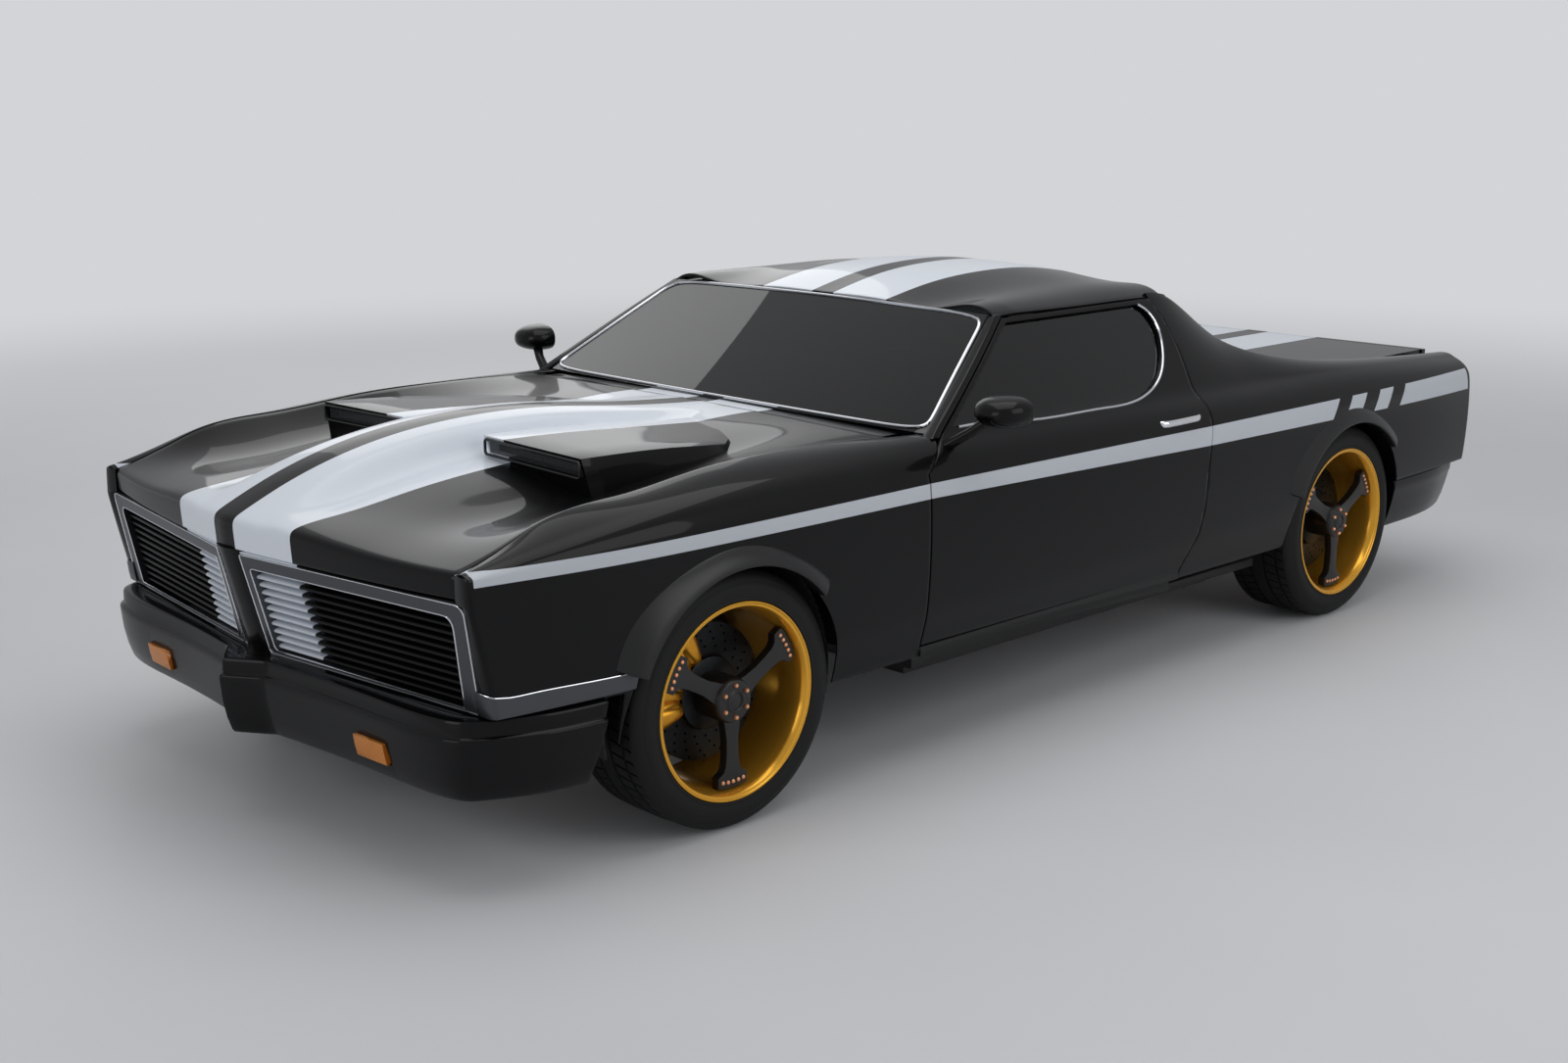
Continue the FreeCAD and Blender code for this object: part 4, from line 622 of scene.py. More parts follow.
def skin_in(z):
    """How far the door's side leans in at a height."""
    if z <= crease_height:
        return 0.0
    if z <= belt:
        return (half_width - 0.858) * (z - crease_height) / (belt - crease_height)
    return half_width - 0.858 + (0.858 - roof_half) * (z - belt) / (roof_edge - belt)


door_cut_slant = 0.27


def door_rear_outline(grow):
    """The door's curved rear shut line, grown by an amount, slanted so that it bends with the side."""
    rear = door_rear + grow
    heights = [0.2, door_bottom, tuck_height + 0.01, 0.64, crease_height + 0.03, belt + 0.04,
               roof_edge - 0.096,
               roof_edge - 0.026, roof_edge + 0.06]
    places = [rear - 0.096, rear - 0.092, rear - 0.044, rear - 0.014, rear + 0.010, rear + 0.012,
              rear + 0.002,
              rear - 0.020, rear - 0.060]
    moved = [y + door_cut_slant * (skin_in(z) + half_width - 0.4) for y, z in zip(places, heights)]
    line = line_through(list(zip(heights, moved)))
    shift = -2 * door_cut_slant * (half_width - 0.4)
    run = [(line(z) + shift, z) for z in np.linspace(0.2, roof_edge + 0.06, 60)]
    return run + [(-3.0, roof_edge + 0.06), (-3.0, 0.2)]


def window_outline(grow):
    """The side window's outline, grown by an amount."""
    depth = pillar_depth + gap + 0.013 - grow
    low, high = belt + 0.020 - grow, roof_edge - 0.018 + grow
    front_low, front_high = behind_screen(depth, low), behind_screen(depth, high)
    run = [(front_low, low), (-0.425, low - 0.001), (-0.225, belt + 0.004 - grow),
           (0.086, belt - 0.002 - grow),
           (0.337 + grow / 2, belt + 0.012 - grow), (0.440 + grow, belt + 0.060),
           (0.500 + grow, belt + 0.140),
           (0.512 + grow, belt + 0.200), (0.496 + grow, roof_edge - 0.040), (0.464, high)]
    return curve_through(run) + [(front_high, high)]


def door_cut(piece, grow):
    """A length of the side cut to the door's outline."""
    trimmed(piece, prism(door_outline(grow)), "INTERSECT")
    return trimmed(piece, prism(door_rear_outline(grow), slant=door_cut_slant), "INTERSECT")


def flat(amount):
    """A line that stays at one amount."""
    return lambda place: amount


door_top = roof_edge + 0.008
fender = side_sheet("fender_left_panel", -2.20, -0.60, 0.0125, crest_x, crest_z, 0.004)
trimmed(fender, prism([(-2.135, 0.690), (-2.145, 0.900), (behind_screen(pillar_depth, belt), 0.900),
                       (behind_screen(pillar_depth, belt), belt + 0.004), (door_front - gap, belt - 0.072),
                       (door_front - gap - 0.006, 0.25), (-1.75, 0.25), (-1.75, 0.430), (-2.075, 0.436)]),
        "INTERSECT")
trimmed(fender, wheel_cutter(-axle_place), "DIFFERENCE")
door = door_cut(side_sheet("door_left_panel", -0.78, 0.66, 0.0125, flat(roof_half), flat(door_top), 0.040),
                0.0)
trimmed(door, prism(window_outline(0.0)), "DIFFERENCE")
quarter = side_sheet("quarter_left_panel", 0.40, 2.30, 0.0125, rail_x, rail_z, 0.014)
trimmed(quarter, prism([(0.450, sill_height - 0.05), (1.50, sill_height - 0.05), (1.50, 0.4275),
                        (2.256, 0.4275), (2.272, 1.3), (0.450, 1.3)]), "INTERSECT")
trimmed(quarter, prism(door_rear_outline(gap), slant=door_cut_slant), "DIFFERENCE")
trimmed(quarter, wheel_cutter(axle_place), "DIFFERENCE")
sill = side_sheet("sill_left", -0.75, 0.52, 0.0125, flat(0.80), flat(0.88), 0.012)
trimmed(sill, prism([(-0.735, 0.25), (-0.735, 0.3262), (0.4715, 0.3185), (0.4715, 0.25)]), "INTERSECT")
for panel, part in ((fender, "fender"), (door, "door"), (quarter, "quarter")):
    bevelled(panel, 0.0012, 2, 40)
    right_panel = other_side(panel, f"{part}_right_panel")
    finished(panel, f"{part}_left", side_paint, "body_paint")
    finished(right_panel, f"{part}_right", side_paint, "body_paint")


def both_sides(piece, name, body, material, slot, crease=40):
    """The piece on the left and its mirror image on the right; a body ending in _left changes too."""
    right = other_side(piece, name + "_right")
    piece.name = name + "_left"
    placed(piece, body, material, slot, crease)
    placed(right, body.replace("_left", "_right"), material, slot, crease)


def worn(name, tones, scale, detail=2.0, stretch=None, rough=0.4, grain=None, surface=None):
    """A finish with a cloudy pattern that moves its tone, its roughness or both, and a fine grain if asked.

    One tone stays as it is and two are mixed; roughness is an amount or the two that it runs between; a grain
    is a (scale, strength), at the cloud's own scale where that is 0; surface holds other shader settings.
    """
    material = new_material(name)
    place = add_node(material, "ShaderNodeTexCoord").outputs["Object"]
    if stretch:
        place = add_node(material, "ShaderNodeMapping", {"Vector": place, "Scale": stretch}).outputs["Vector"]
    cloud = add_node(material, "ShaderNodeTexNoise", {"Vector": place, "Scale": scale, "Detail": detail})
    settings = dict(surface or {})
    settings["Base Color"] = linear(tones[0])
    if len(tones) == 2:
        settings["Base Color"] = add_node(material, "ShaderNodeMixRGB",
                                          {"Fac": cloud.outputs["Fac"], "Color1": linear(tones[0]),
                                           "Color2": linear(tones[1])}).outputs["Color"]
    settings["Roughness"] = rough
    if isinstance(rough, tuple):
        spread = add_node(material, "ShaderNodeMapRange", {
            "Value": cloud.outputs["Fac"], "To Min": rough[0], "To Max": rough[1]})
        settings["Roughness"] = spread.outputs["Result"]
    if grain:
        fine = cloud
        if grain[0]:
            fine = add_node(material, "ShaderNodeTexNoise", {"Vector": place, "Scale": grain[0]})
        bump = add_node(material, "ShaderNodeBump", {
            "Height": fine.outputs["Fac"], "Strength": grain[1], "Distance": 0.001})
        settings["Normal"] = bump.outputs["Normal"]
    shader = add_node(material, "ShaderNodeBsdfPrincipled", settings)
    return finish_material(material, shader.outputs["BSDF"])


both_sides(sill, "sill", "body", plain_paint, "body_paint")
# Satin paint shows a wide, dull sheen beside the glossy body.
flare_paint = worn("satin black paint of the arch flares", ("#0B0B0C", "#0F0F10"), 3.0, rough=0.34,
                   surface={"Specular IOR Level": 0.45})
for name, axle, top_x, top_z in (("front_flare", -axle_place, crest_x, crest_z),
                                 ("rear_flare", axle_place, rail_x, rail_z)):
    flare = bevelled(arch_flare(name, axle, top_x, top_z), 0.004, 3, 30)
    both_sides(flare, name, "body", flare_paint, "body_paint")

# The tail's corner fillers: pressed steel, lead-loaded between the tail panel and the quarters, so that
# the body's end is closed.

filler_place, filler_inside = 2.258, 0.795


def tail_corner_point(row, column):
    """A place on the filler, which runs from behind the tail panel's end to the quarter's skin."""
    z = 0.434 + 0.352 * row
    outside = skin_at(filler_place, z, rail_x, rail_z) - 0.006
    return (filler_inside + (outside - filler_inside) * column, filler_place, z)


tail_corner = sheet("tail_corner", 40, 8, tail_corner_point)
applied(tail_corner, "SOLIDIFY", thickness=0.006, offset=0.0)
both_sides(tail_corner, "tail_corner", "body", plain_paint, "body_paint")

# The rear arch liners: sheet steel bands over the rear wheels that close the wheel tubs to the quarters'
# skin.

liner_inside, liner_radius = 0.700, 0.372


def liner_point(row, column):
    """A place on the liner, which runs over the wheel from inside the tub to the skin."""
    turn = math.radians(8 + 164 * row)
    y, z = axle_place - liner_radius * math.cos(turn), axle_height + liner_radius * math.sin(turn)
    outside = skin_at(y, z, rail_x, rail_z) - 0.008
    return (liner_inside + (outside - liner_inside) * column, y, z)


liner = sheet("rear_arch_liner", 60, 6, liner_point)
applied(liner, "SOLIDIFY", thickness=0.004, offset=0.0)
both_sides(liner, "rear_arch_liner", "body", flare_paint, "body_paint")

# The rear bumper: a black valance of pressed steel, bolted under the body's tail, that wraps round to the
# rear wheels.

rear_plan = curve_through([(0.0, 2.286), (0.50, 2.285), (0.74, 2.283), (0.815, 2.278), (0.854, 2.260),
                           (0.872, 2.215), (0.898, 2.100), (0.915, 1.950), (0.9205, 1.700)])
rear_levels = [(0.060, 0.4235), (0.012, 0.4235), (0.004, 0.4200), (0.0, 0.4120), (0.002, 0.3900),
               (0.008, 0.3830),
               (0.026, 0.3400), (0.048, 0.2950), (0.072, 0.2600), (0.084, 0.2510), (0.110, 0.2500)]


def wrapped(name, half_plan, levels, straight, bend, forward, ease=0.0):
    """A bumper: (depth, z) levels carried round a plan, their depth measured across first and then along."""
    rings = []
    for x, y in [(-x, y) for x, y in half_plan[:0:-1]] + half_plan:
        turned = min(max((abs(x) - straight) / bend, 0.0), 1.0)
        inward = Vector((-math.copysign(turned, x), forward * (1.0 - turned), 0)).normalized()
        lean = 1.0 - ease * turned
        rings.append([(x + inward.x * lean * depth, y + inward.y * lean * depth, z) for depth, z in levels])
    return loft(name, rings)


rear_bumper = wrapped("rear_bumper_valance", rear_plan, rear_levels, 0.72, 0.16, -1.0, 0.5)
for side in (1, -1):
    trimmed(rear_bumper, wheel_cutter(axle_place, side), "DIFFERENCE")
finished(rear_bumper, "rear_bumper", plain_paint, "body_paint", 0.002)

# The hood: pressed steel with a centre bulge between two bevels, a rolled front lip over the grille,
# and two air scoops that stand over it. It shuts against the fenders' crests.

hood_gap = 0.006
cowl_edge = -0.732
centre_line = line_through([(-2.33, 0.742), (-2.258, 0.779), (-2.13, 0.838), (-1.90, 0.910), (-1.60, 0.948),
                            (-1.30, 0.943), (-1.00, 0.911), (-0.66, 0.886)])
bulge_x = line_through([(-2.33, 0.150), (-2.13, 0.140), (-1.90, 0.125), (-1.60, 0.120), (-0.66, 0.120)])
bulge_z = line_through([(-2.33, 0.735), (-2.258, 0.770), (-2.13, 0.826), (-1.90, 0.897), (-1.60, 0.936),
                        (-1.30, 0.933), (-1.00, 0.905), (-0.66, 0.886)])
bevel_drop = line_through([(-2.33, 0.0), (-2.19, 0.001), (-2.13, 0.020), (-2.05, 0.042), (-1.90, 0.059),
                           (-1.60, 0.068), (-1.30, 0.055), (-1.00, 0.021), (-0.80, 0.002), (-0.66, 0.0)])
foot_x = line_through([(-2.33, 0.205), (-2.13, 0.192), (-1.90, 0.174), (-1.60, 0.168), (-0.66, 0.180)])
valley_z = line_through([(-2.33, 0.732), (-2.13, 0.775), (-1.90, 0.790), (-1.60, 0.812), (-1.30, 0.843),
                         (-1.00, 0.870), (-0.66, 0.884)])
valley_x = line_through([(-2.33, 0.520), (-1.90, 0.550), (-1.60, 0.570), (-0.66, 0.570)])


def hood_across(y):
    """The hood's outside at a place along the car, from the centre to the shut line, as (x, z) points."""
    top = (bulge_x(y), bulge_z(y))
    foot = (foot_x(y), bulge_z(y) - bevel_drop(y))
    valley = (valley_x(y), valley_z(y))
    points = arc_through((0, centre_line(y)), (top[0] * 0.6, (centre_line(y) + top[1]) / 2 + 0.002), top, 10)
    points += [(top[0] + (foot[0] - top[0]) * share, top[1] + (foot[1] - top[1]) * share)
               for share in np.linspace(0, 1, 6)[:-1]]
    outer = line_through([foot, (0.6 * valley[0] + 0.06, foot[1] * 0.42 + valley[1] * 0.58 + 0.003),
                          (valley[0], valley[1] + 0.003), (crest_x(y), crest_z(y))])
    points += [(x, outer(x)) for x in np.linspace(foot[0], crest_x(y) - hood_gap, 34)]
    return softened(points, 2)


hood_places = np.linspace(-2.33, -0.66, 330)
hood_table = np.array([hood_across(y) for y in hood_places])


def hood_point(y, column):
    """The hood's outside at a place along the car, in one of its columns."""
    return tuple(float(np.interp(y, hood_places, hood_table[:, column, axis])) for axis in (0, 1))


def hood_height(x, y):
    """The height of the hood's outside."""
    row = np.array([hood_point(y, column) for column in range(hood_table.shape[1])])
    return float(np.interp(abs(x), row[:, 0], row[:, 1]))


nose_edge = line_through([(0.0, -2.258), (0.20, -2.236), (0.42, -2.207), (0.62, -2.174), (0.82, -2.134)])
lip_bottom = 0.706
lip_steps = 8
lip_eased = 20
top_steps = [0.0, 0.007, 0.014, 0.022, 0.031, 0.042, 0.055, 0.070, 0.090]


def hood_column(column):
    """One column of the hood from the lip's lower edge over the rolled corner back to the cowl."""
    edge = nose_edge(hood_point(-2.2, column)[0])
    height = hood_point(edge, column)[1]
    run = [(hood_point(edge, column)[0], edge + (height - z) * 0.07, z)
           for z in np.linspace(lip_bottom, height, lip_steps + 1)[:-1]]
    places = [edge + step for step in top_steps]
    places += list(np.linspace(places[-1], cowl_edge, 84))[1:]
    run = np.array(run + [(hood_point(y, column)[0], y, hood_point(y, column)[1]) for y in places])
    run[:lip_eased] = softened(run[:lip_eased], 5)
    return run


half_columns = [hood_column(column) for column in range(hood_table.shape[1])]
across = [[(-x, y, z) for x, y, z in column] for column in half_columns[:0:-1]] + half_columns
hood_rows, hood_columns = len(across[0]) - 1, len(across) - 1
hood = sheet("hood_panel", hood_rows, hood_columns, lambda row, column: across[round(column * hood_columns)][
    round(row * hood_rows)])
applied(hood, "SOLIDIFY", thickness=0.014, offset=-1.0, use_even_offset=True)
bevelled(hood, 0.0016, 2, 50)

scoop_from = -1.607
scoop_stations = [(-1.607, 0.177, 0.590, 0.922, 0.916), (-1.50, 0.178, 0.583, 0.920, 0.912),
                  (-1.40, 0.179, 0.576, 0.916, 0.907), (-1.30, 0.181, 0.568, 0.910, 0.900),
                  (-1.20, 0.184, 0.560, 0.904, 0.890), (-1.10, 0.188, 0.552, 0.898, 0.881),
                  (-1.04, 0.192, 0.500, 0.894, 0.880), (-0.98, 0.197, 0.400, 0.890, 0.881),
                  (-0.92, 0.202, 0.300, 0.886, 0.882), (-0.87, 0.206, 0.240, 0.880, 0.879)]
rings = []
for y, x_in, x_out, top_in, top_out in scoop_stations:
    back = 0.022 if y == scoop_from else 0.0
    base_in, base_out = hood_height(x_in, y) - 0.006, hood_height(x_out, y) - 0.006
    wall_in = [(x_in + 0.004 * share, y + back * (1 - share), base_in + (top_in - base_in) * share)
               for share in (0, 0.33, 0.66, 1)]
    over = [(x_in + 0.004 + (x_out - x_in - 0.012) * share, y, top_in + (top_out - top_in) * share)
            for share in (0.25, 0.5, 0.75, 1)]
    wall_out = [(x_out - 0.008 + 0.014 * share, y + back * share, top_out + (base_out - top_out) * share)
                for share in (0.33, 0.66, 1)]
    under = [(x_out + (x_in - x_out) * share, y + back, base_out + (base_in - base_out) * share - 0.004)
             for share in (0.25, 0.5, 0.75)]
    rings.append(wall_in + over + wall_out + under)
scoop = loft("scoop_left", rings)
mouth = loft("scoop_mouth", [[(x, y, z) for x, z in ((0.191, 0.876), (0.576, 0.868), (0.576, 0.904),
                                                     (0.191, 0.911))] for y in (-1.64, -1.54)])
bevelled(trimmed(scoop, mouth, "DIFFERENCE"), 0.005)
hood = joined([hood, scoop, other_side(scoop, "scoop_right")], "hood_panel")
finished(hood, "hood", striped_paint, "body_paint")

# The roof: one steel panel with a slight crown, and the two slim pillars beside the windscreen, welded
# to the body.

roof_centre = line_through([(-0.19, 1.164), (0.0, 1.205), (0.25, 1.228), (0.50, 1.220), (0.66, 1.196)])
roof_side = line_through([(-0.19, 1.156), (0.0, 1.152), (0.25, 1.149), (0.50, 1.148), (0.66, 1.142)])


def roof_height(y, share):
    """The roof's outside at a place along the car, at a share of its half width."""
    fall = roof_centre(y) - roof_side(y)
    line = line_through([(-0.35, roof_centre(y) - fall * 0.12), (0, roof_centre(y)),
                         (0.35, roof_centre(y) - fall * 0.12), (0.72, roof_centre(y) - fall * 0.52),
                         (0.955, roof_side(y) + 0.012), (1.0, roof_side(y) - 0.002)])
    return line(share)


def roof_point(row, column):
    """A point of the roof: its rear edge curves forward at the sides to meet the buttresses."""
    across = abs(2 * column - 1)
    y = -0.192 + (0.852 - 0.050 * across ** 5) * row
    z = roof_height(y, across)
    if y < -0.10:
        z -= 0.006 * across ** 8 * (-0.10 - y) / 0.092
    return ((roof_half + 0.001) * (2 * column - 1), y, z)


roof = sheet("roof_panel", 60, 80, roof_point)
applied(roof, "SOLIDIFY", thickness=0.009, offset=-1.0)
pillar = side_sheet("pillar_left", -0.70, -0.14, 0.01, flat(roof_half), flat(door_top), 0.030)
pillar_band = [(behind_screen(depth, z), z) for depth, z in (
    (0, belt + 0.004), (pillar_depth, belt + 0.004), (pillar_depth, roof_edge + 0.004),
    (0, roof_edge + 0.004))]
trimmed(pillar, prism(pillar_band), "INTERSECT")
roof = joined([roof, pillar, other_side(pillar, "pillar_right")], "roof_panel")
finished(roof, "roof", striped_paint, "body_paint", 0.0015)

# The front bumper: a black painted steel blade with a pointed prow, two pressed lines along it and
# wrapped ends, with a slot for an amber lamp on each side.

bumper_side = half_width - 0.002
front_plan = [(0.0, -2.290), (0.024, -2.275), (0.048, -2.2585), (0.072, -2.242)] + curve_through(
    [(0.095, -2.226), (0.31, -2.204), (0.54, -2.192), (0.74, -2.176), (0.812, -2.150),
     (bumper_side - 0.066, -2.075),
     (bumper_side - 0.018, -1.945), (bumper_side, -1.790)])
front_levels = [(0.056, 0.4290), (0.022, 0.4290), (0.0135, 0.4265), (0.0110, 0.4215), (0.0105, 0.3900),
                (0.0020, 0.3865), (0.0, 0.3830), (0.0005, 0.3700), (0.0050, 0.3200), (0.0140, 0.2750),
                (0.0250, 0.2420), (0.0320, 0.2330), (0.0560, 0.2330)]
bumper = wrapped("front_bumper_blade", front_plan, front_levels, 0.74, 0.17, 1.0)
for side in (1, -1):
    trimmed(bumper, loft("lamp_slot", [[(side * x, y, z) for x, z in (
        (0.455, 0.327), (0.571, 0.327), (0.583, 0.275), (0.467, 0.275))] for y in (-2.30, -2.168)]),
        "DIFFERENCE")
for side in (1, -1):
    trimmed(bumper, prism([(-1.800, 0.45), (-1.868, 0.20), (-1.60, 0.20), (-1.60, 0.45)], side * 0.5,
                          side * 1.1),
            "DIFFERENCE")
finished(bumper, "front_bumper", plain_paint, "body_paint", 0.0015)


def face_y(x, z):
    """The place along the car of the grille's V face."""
    down = (0.694 - z) / 0.270
    prow, corner = -2.248 + 0.068 * down, -2.132 + 0.048 * down
    return prow + (corner - prow) * abs(x) / 0.832


plan_x, plan_y = zip(*front_plan)
rings = []
for x in np.linspace(-0.80, 0.80, 61):
    front = float(np.interp(abs(x), plan_x, plan_y)) + 0.040
    back = face_y(x, 0.434) + 0.030
    rings.append([(x, front, 0.4265), (x, (front + back) / 2, 0.4285), (x, back, 0.4310), (x, back, 0.4270),
                  (x, front, 0.4225)])
shelf = loft("bumper_shelf", rings)
prow_half = [(0.066, 0.030), (0.0535, 0.0), (0.050, -0.004), (0.030, -0.008), (0.010, -0.011)]
prow_round = prow_half + [(-x, out) for x, out in prow_half[::-1]]
prow = loft("prow_bar", [[(x, face_y(x, z) + out, z) for x, out in prow_round]
                         for z in np.linspace(0.424, 0.706, 12)])
placed(joined([shelf, prow], "nose_filler"), "body", plain_paint, "body_paint")

# The glass: laminated sheet, tinted nearly black, so that the cabin only just shows. The screens are
# bonded to the body and edged with a thin bright bead; the side glass has its bead on the door.

# The tint leaves only a dark view of the cabin under clear reflections.
tinted_glass = worn("dark tinted laminated glass", ("#26292B", "#2E3133"), 1.5, rough=0.01,
                    surface={"IOR": 1.45, "Transmission Weight": 1.0})
# Polished steel mirrors its surroundings as a thin bright line.
bright = worn("bright polished stainless trim", ("#D9DCE0",), 90.0, rough=(0.10, 0.22),
              surface={"Metallic": 1.0})


def screen_point(x_low, x_high, share, lift=0.0):
    """A point of the windscreen's bowed face, a share of the way up the line from x_low to x_high."""
    x = x_low + (x_high - x_low) * share
    bow = (x / 0.756) ** 2
    y = (-0.668 + 0.036 * bow) * (1 - share) - 0.196 * share
    z = (0.888 - 0.006 * bow) * (1 - share) + (1.162 - 0.012 * bow) * share
    return (x, y - lift * math.sin(screen_slope), z + lift * math.cos(screen_slope))


screen_x_low, screen_x_high = 0.824, 0.668
screen = sheet("windshield_glass", 30, 60, lambda row, column: screen_point(
    screen_x_low * (2 * column - 1), screen_x_high * (2 * column - 1), 0.005 + 0.99 * row))
applied(screen, "SOLIDIFY", thickness=0.006, offset=-1.0)
finished(screen, "windshield", tinted_glass, "tinted_glass")

bead_inset = 0.006
bead_low, bead_high = 0.022, 0.975


def squared_round(angle, power):
    """A place on a rounded square from -1 to 1 across and up: squarer the lower the power."""
    return [math.copysign(abs(part) ** power, part) for part in (math.cos(angle), math.sin(angle))]


def screen_bead_point(turned):
    """The bead's line round the screen, which has tight corners."""
    u, v = squared_round(2 * math.pi * turned, 0.13)
    share = bead_low + (bead_high - bead_low) * (v + 1) / 2
    return screen_point(u * (screen_x_low - bead_inset), u * (screen_x_high - bead_inset), share, 0.0015)


turns = [0.5 * (1 - math.cos(math.pi * step / 40)) * 0.25 for step in range(40)]
turns = [quarter_turn * 0.25 + turn for quarter_turn in range(4) for turn in turns]
screen_bead = swept("screen_bead", [screen_bead_point(turn) for turn in turns], round_profile(0.0048, 8),
                    closed=True, up=(0, -math.sin(screen_slope), math.cos(screen_slope)))
placed(screen_bead, "body", bright, "bright_trim")

rear_glass = sheet("rear_window_glass", 24, 50, lambda row, column: (
    (2 * column - 1) * (0.705 - 0.045 * row),
    1.066 - 0.030 * ((2 * column - 1) ** 2) * (1 - row) - 0.398 * row,
    0.8185 + 0.352 * row + 0.014 * math.sin(math.pi * row) - 0.030 * row * (2 * column - 1) ** 2))
applied(rear_glass, "SOLIDIFY", thickness=0.006, offset=1.0)
finished(rear_glass, "rear_window", tinted_glass, "tinted_glass")

door_pane = side_sheet("door_pane", -0.66, 0.58, 0.0125, flat(roof_half), flat(door_top), 0.005)
for vertex in door_pane.data.vertices:
    vertex.co.x -= 0.013
trimmed(door_pane, prism(window_outline(-0.0005)), "INTERSECT")
right_pane = other_side(door_pane, "door_pane_right")
finished(door_pane, "door_glass_left", tinted_glass, "tinted_glass")
finished(right_pane, "door_glass_right", tinted_glass, "tinted_glass")

bead_line = [(skin_at(y, z, flat(roof_half), flat(door_top)) + 0.0005, y, z) for y,
             z in window_outline(0.0)[2:90]]
door_bead = swept("door_bead", bead_line, round_profile(0.0042, 8), up=(1, 0, 0))
both_sides(door_bead, "door_bead", "door_left", bright, "bright_trim")

# The door mirrors: a painted streamlined cup on a short stalk that is screwed to the door, its glass set in
# the flat back.

stalk_stations = [((0.850, -0.604, 0.840), 0.026, 0.020), ((0.872, -0.597, 0.855), 0.021, 0.017),
                  ((0.905, -0.587, 0.876), 0.017, 0.014), ((0.940, -0.575, 0.899), 0.016, 0.013),
                  ((0.968, -0.560, 0.922), 0.018, 0.014), ((0.992, -0.545, 0.942), 0.022, 0.016)]
rings = []
for (x, y, z), along, thick in stalk_stations:
    rings.append([(x - 0.55 * thick * math.sin(angle), y + along * math.cos(angle),
                   z + 0.83 * thick * math.sin(angle))
                  for angle in np.linspace(0, 2 * math.pi, 20, endpoint=False)])
stalk = loft("mirror_stalk", rings)


def mirror_ring(size, height, swept_to):
    """A ring of the mirror's rounded outline at a size, put along the car by how far across it lies."""
    ring = []
    for angle in np.linspace(0, 2 * math.pi, 48, endpoint=False):
        u, v = squared_round(angle, 0.82)
        ring.append((1.010 + 0.076 * size * u, swept_to(size * (u + 1) * 0.5), 0.956 + height * size * v))
    return ring


head_rings = []
for share, size in ((0.0, 0.02), (0.02, 0.25), (0.07, 0.46), (0.16, 0.66), (0.28, 0.81), (0.42, 0.91),
                    (0.58, 0.97), (0.76, 1.0), (0.92, 0.995), (1.0, 0.975), (1.0, 0.90), (0.93, 0.885),
                    (0.90, 0.86)):
    ring = mirror_ring(size, 0.042, lambda across: -0.604 + 0.092 * share + 0.020 * across * share)
    head_rings.append([(x, y, z - 0.006 * (1 - size)) for x, y, z in ring])
head = loft("mirror_head", head_rings)
mirror = joined([stalk, head], "door_mirror")
both_sides(mirror, "door_mirror", "door_left", plain_paint, "body_paint", 35)

# Silvered glass reflects nearly everything.
mirror_glass = worn("silvered mirror glass", ("#C9CED2",), 40.0, rough=(0.01, 0.04),
                    surface={"Metallic": 1.0})
pane_rings = [mirror_ring(size, 0.041, lambda across: -0.516 - depth + 0.018 * across)
              for depth, size in ((0.0, 0.0), (0.0, 0.5), (0.0, 0.84), (0.0015, 0.86), (0.004, 0.86),
                                  (0.004, 0.0))]
both_sides(loft("mirror_pane", pane_rings), "mirror_pane", "door_left", mirror_glass, "bright_trim")

# The door handles: chromed pulls that stand on two feet, high at the back of each door, with a round lock
# button behind them.

# Chrome plate shines with hard, white highlights.
chrome = worn("bright chrome plate", ("#E3E5E8",), 30.0, 3.0, rough=(0.04, 0.11), surface={"Metallic": 1.0})
grip = [(0.902, 0.318, 0.800), (0.912, 0.322, 0.800), (0.9195, 0.331, 0.800), (0.9245, 0.345, 0.800)]
grip += [(0.9250 + 0.0015 * math.sin(math.pi * t), 0.345 + 0.150 * t, 0.800)
         for t in np.linspace(0.05, 0.95, 16)]
grip += [(0.9245, 0.495, 0.800), (0.9195, 0.509, 0.800), (0.912, 0.518, 0.800), (0.902, 0.522, 0.800)]
handle = swept("handle_grip", grip, round_profile(0.0075, 16, 1.4))
bpy.ops.object.select_all(action="DESELECT")
bpy.ops.mesh.primitive_cylinder_add(vertices=32, radius=0.0095, depth=0.016, location=(0.898, 0.545, 0.800),
                                    rotation=(0, math.pi / 2, 0))
bpy.ops.object.transform_apply(location=True, rotation=True, scale=True)
latch = bevelled(bpy.context.object, 0.002, 3, 40)
both_sides(joined([handle, latch], "door_handle"), "door_handle", "door_left", chrome, "bright_trim")

# The grille: on each side a V face of thin slats, black but white where the stripes run over them,
# framed by a satin grey surround with bright edges that sweeps round the corner as a blade.

# Fine drawn lines blur the reflection into a soft grey.
satin_grey = worn("satin grey anodised trim", ("#505256",), 1.0, stretch=(20.0, 20.0, 700.0),
                  rough=(0.30, 0.42),
                  surface={"Metallic": 0.85})


def rounded_outline(corners, radii, count=8):
    """An outline with its corners rounded, with as many points at each corner."""
    points = []
    for index, corner in enumerate(corners):
        corner = Vector(corner)
        before = (Vector(corners[index - 1]) - corner).normalized() * radii[index]
        after = (Vector(corners[(index + 1) % len(corners)]) - corner).normalized() * radii[index]
        for t in np.linspace(0, 1, count):
            points.append(corner + before * (1 - t) ** 2 + after * t ** 2)
    return points


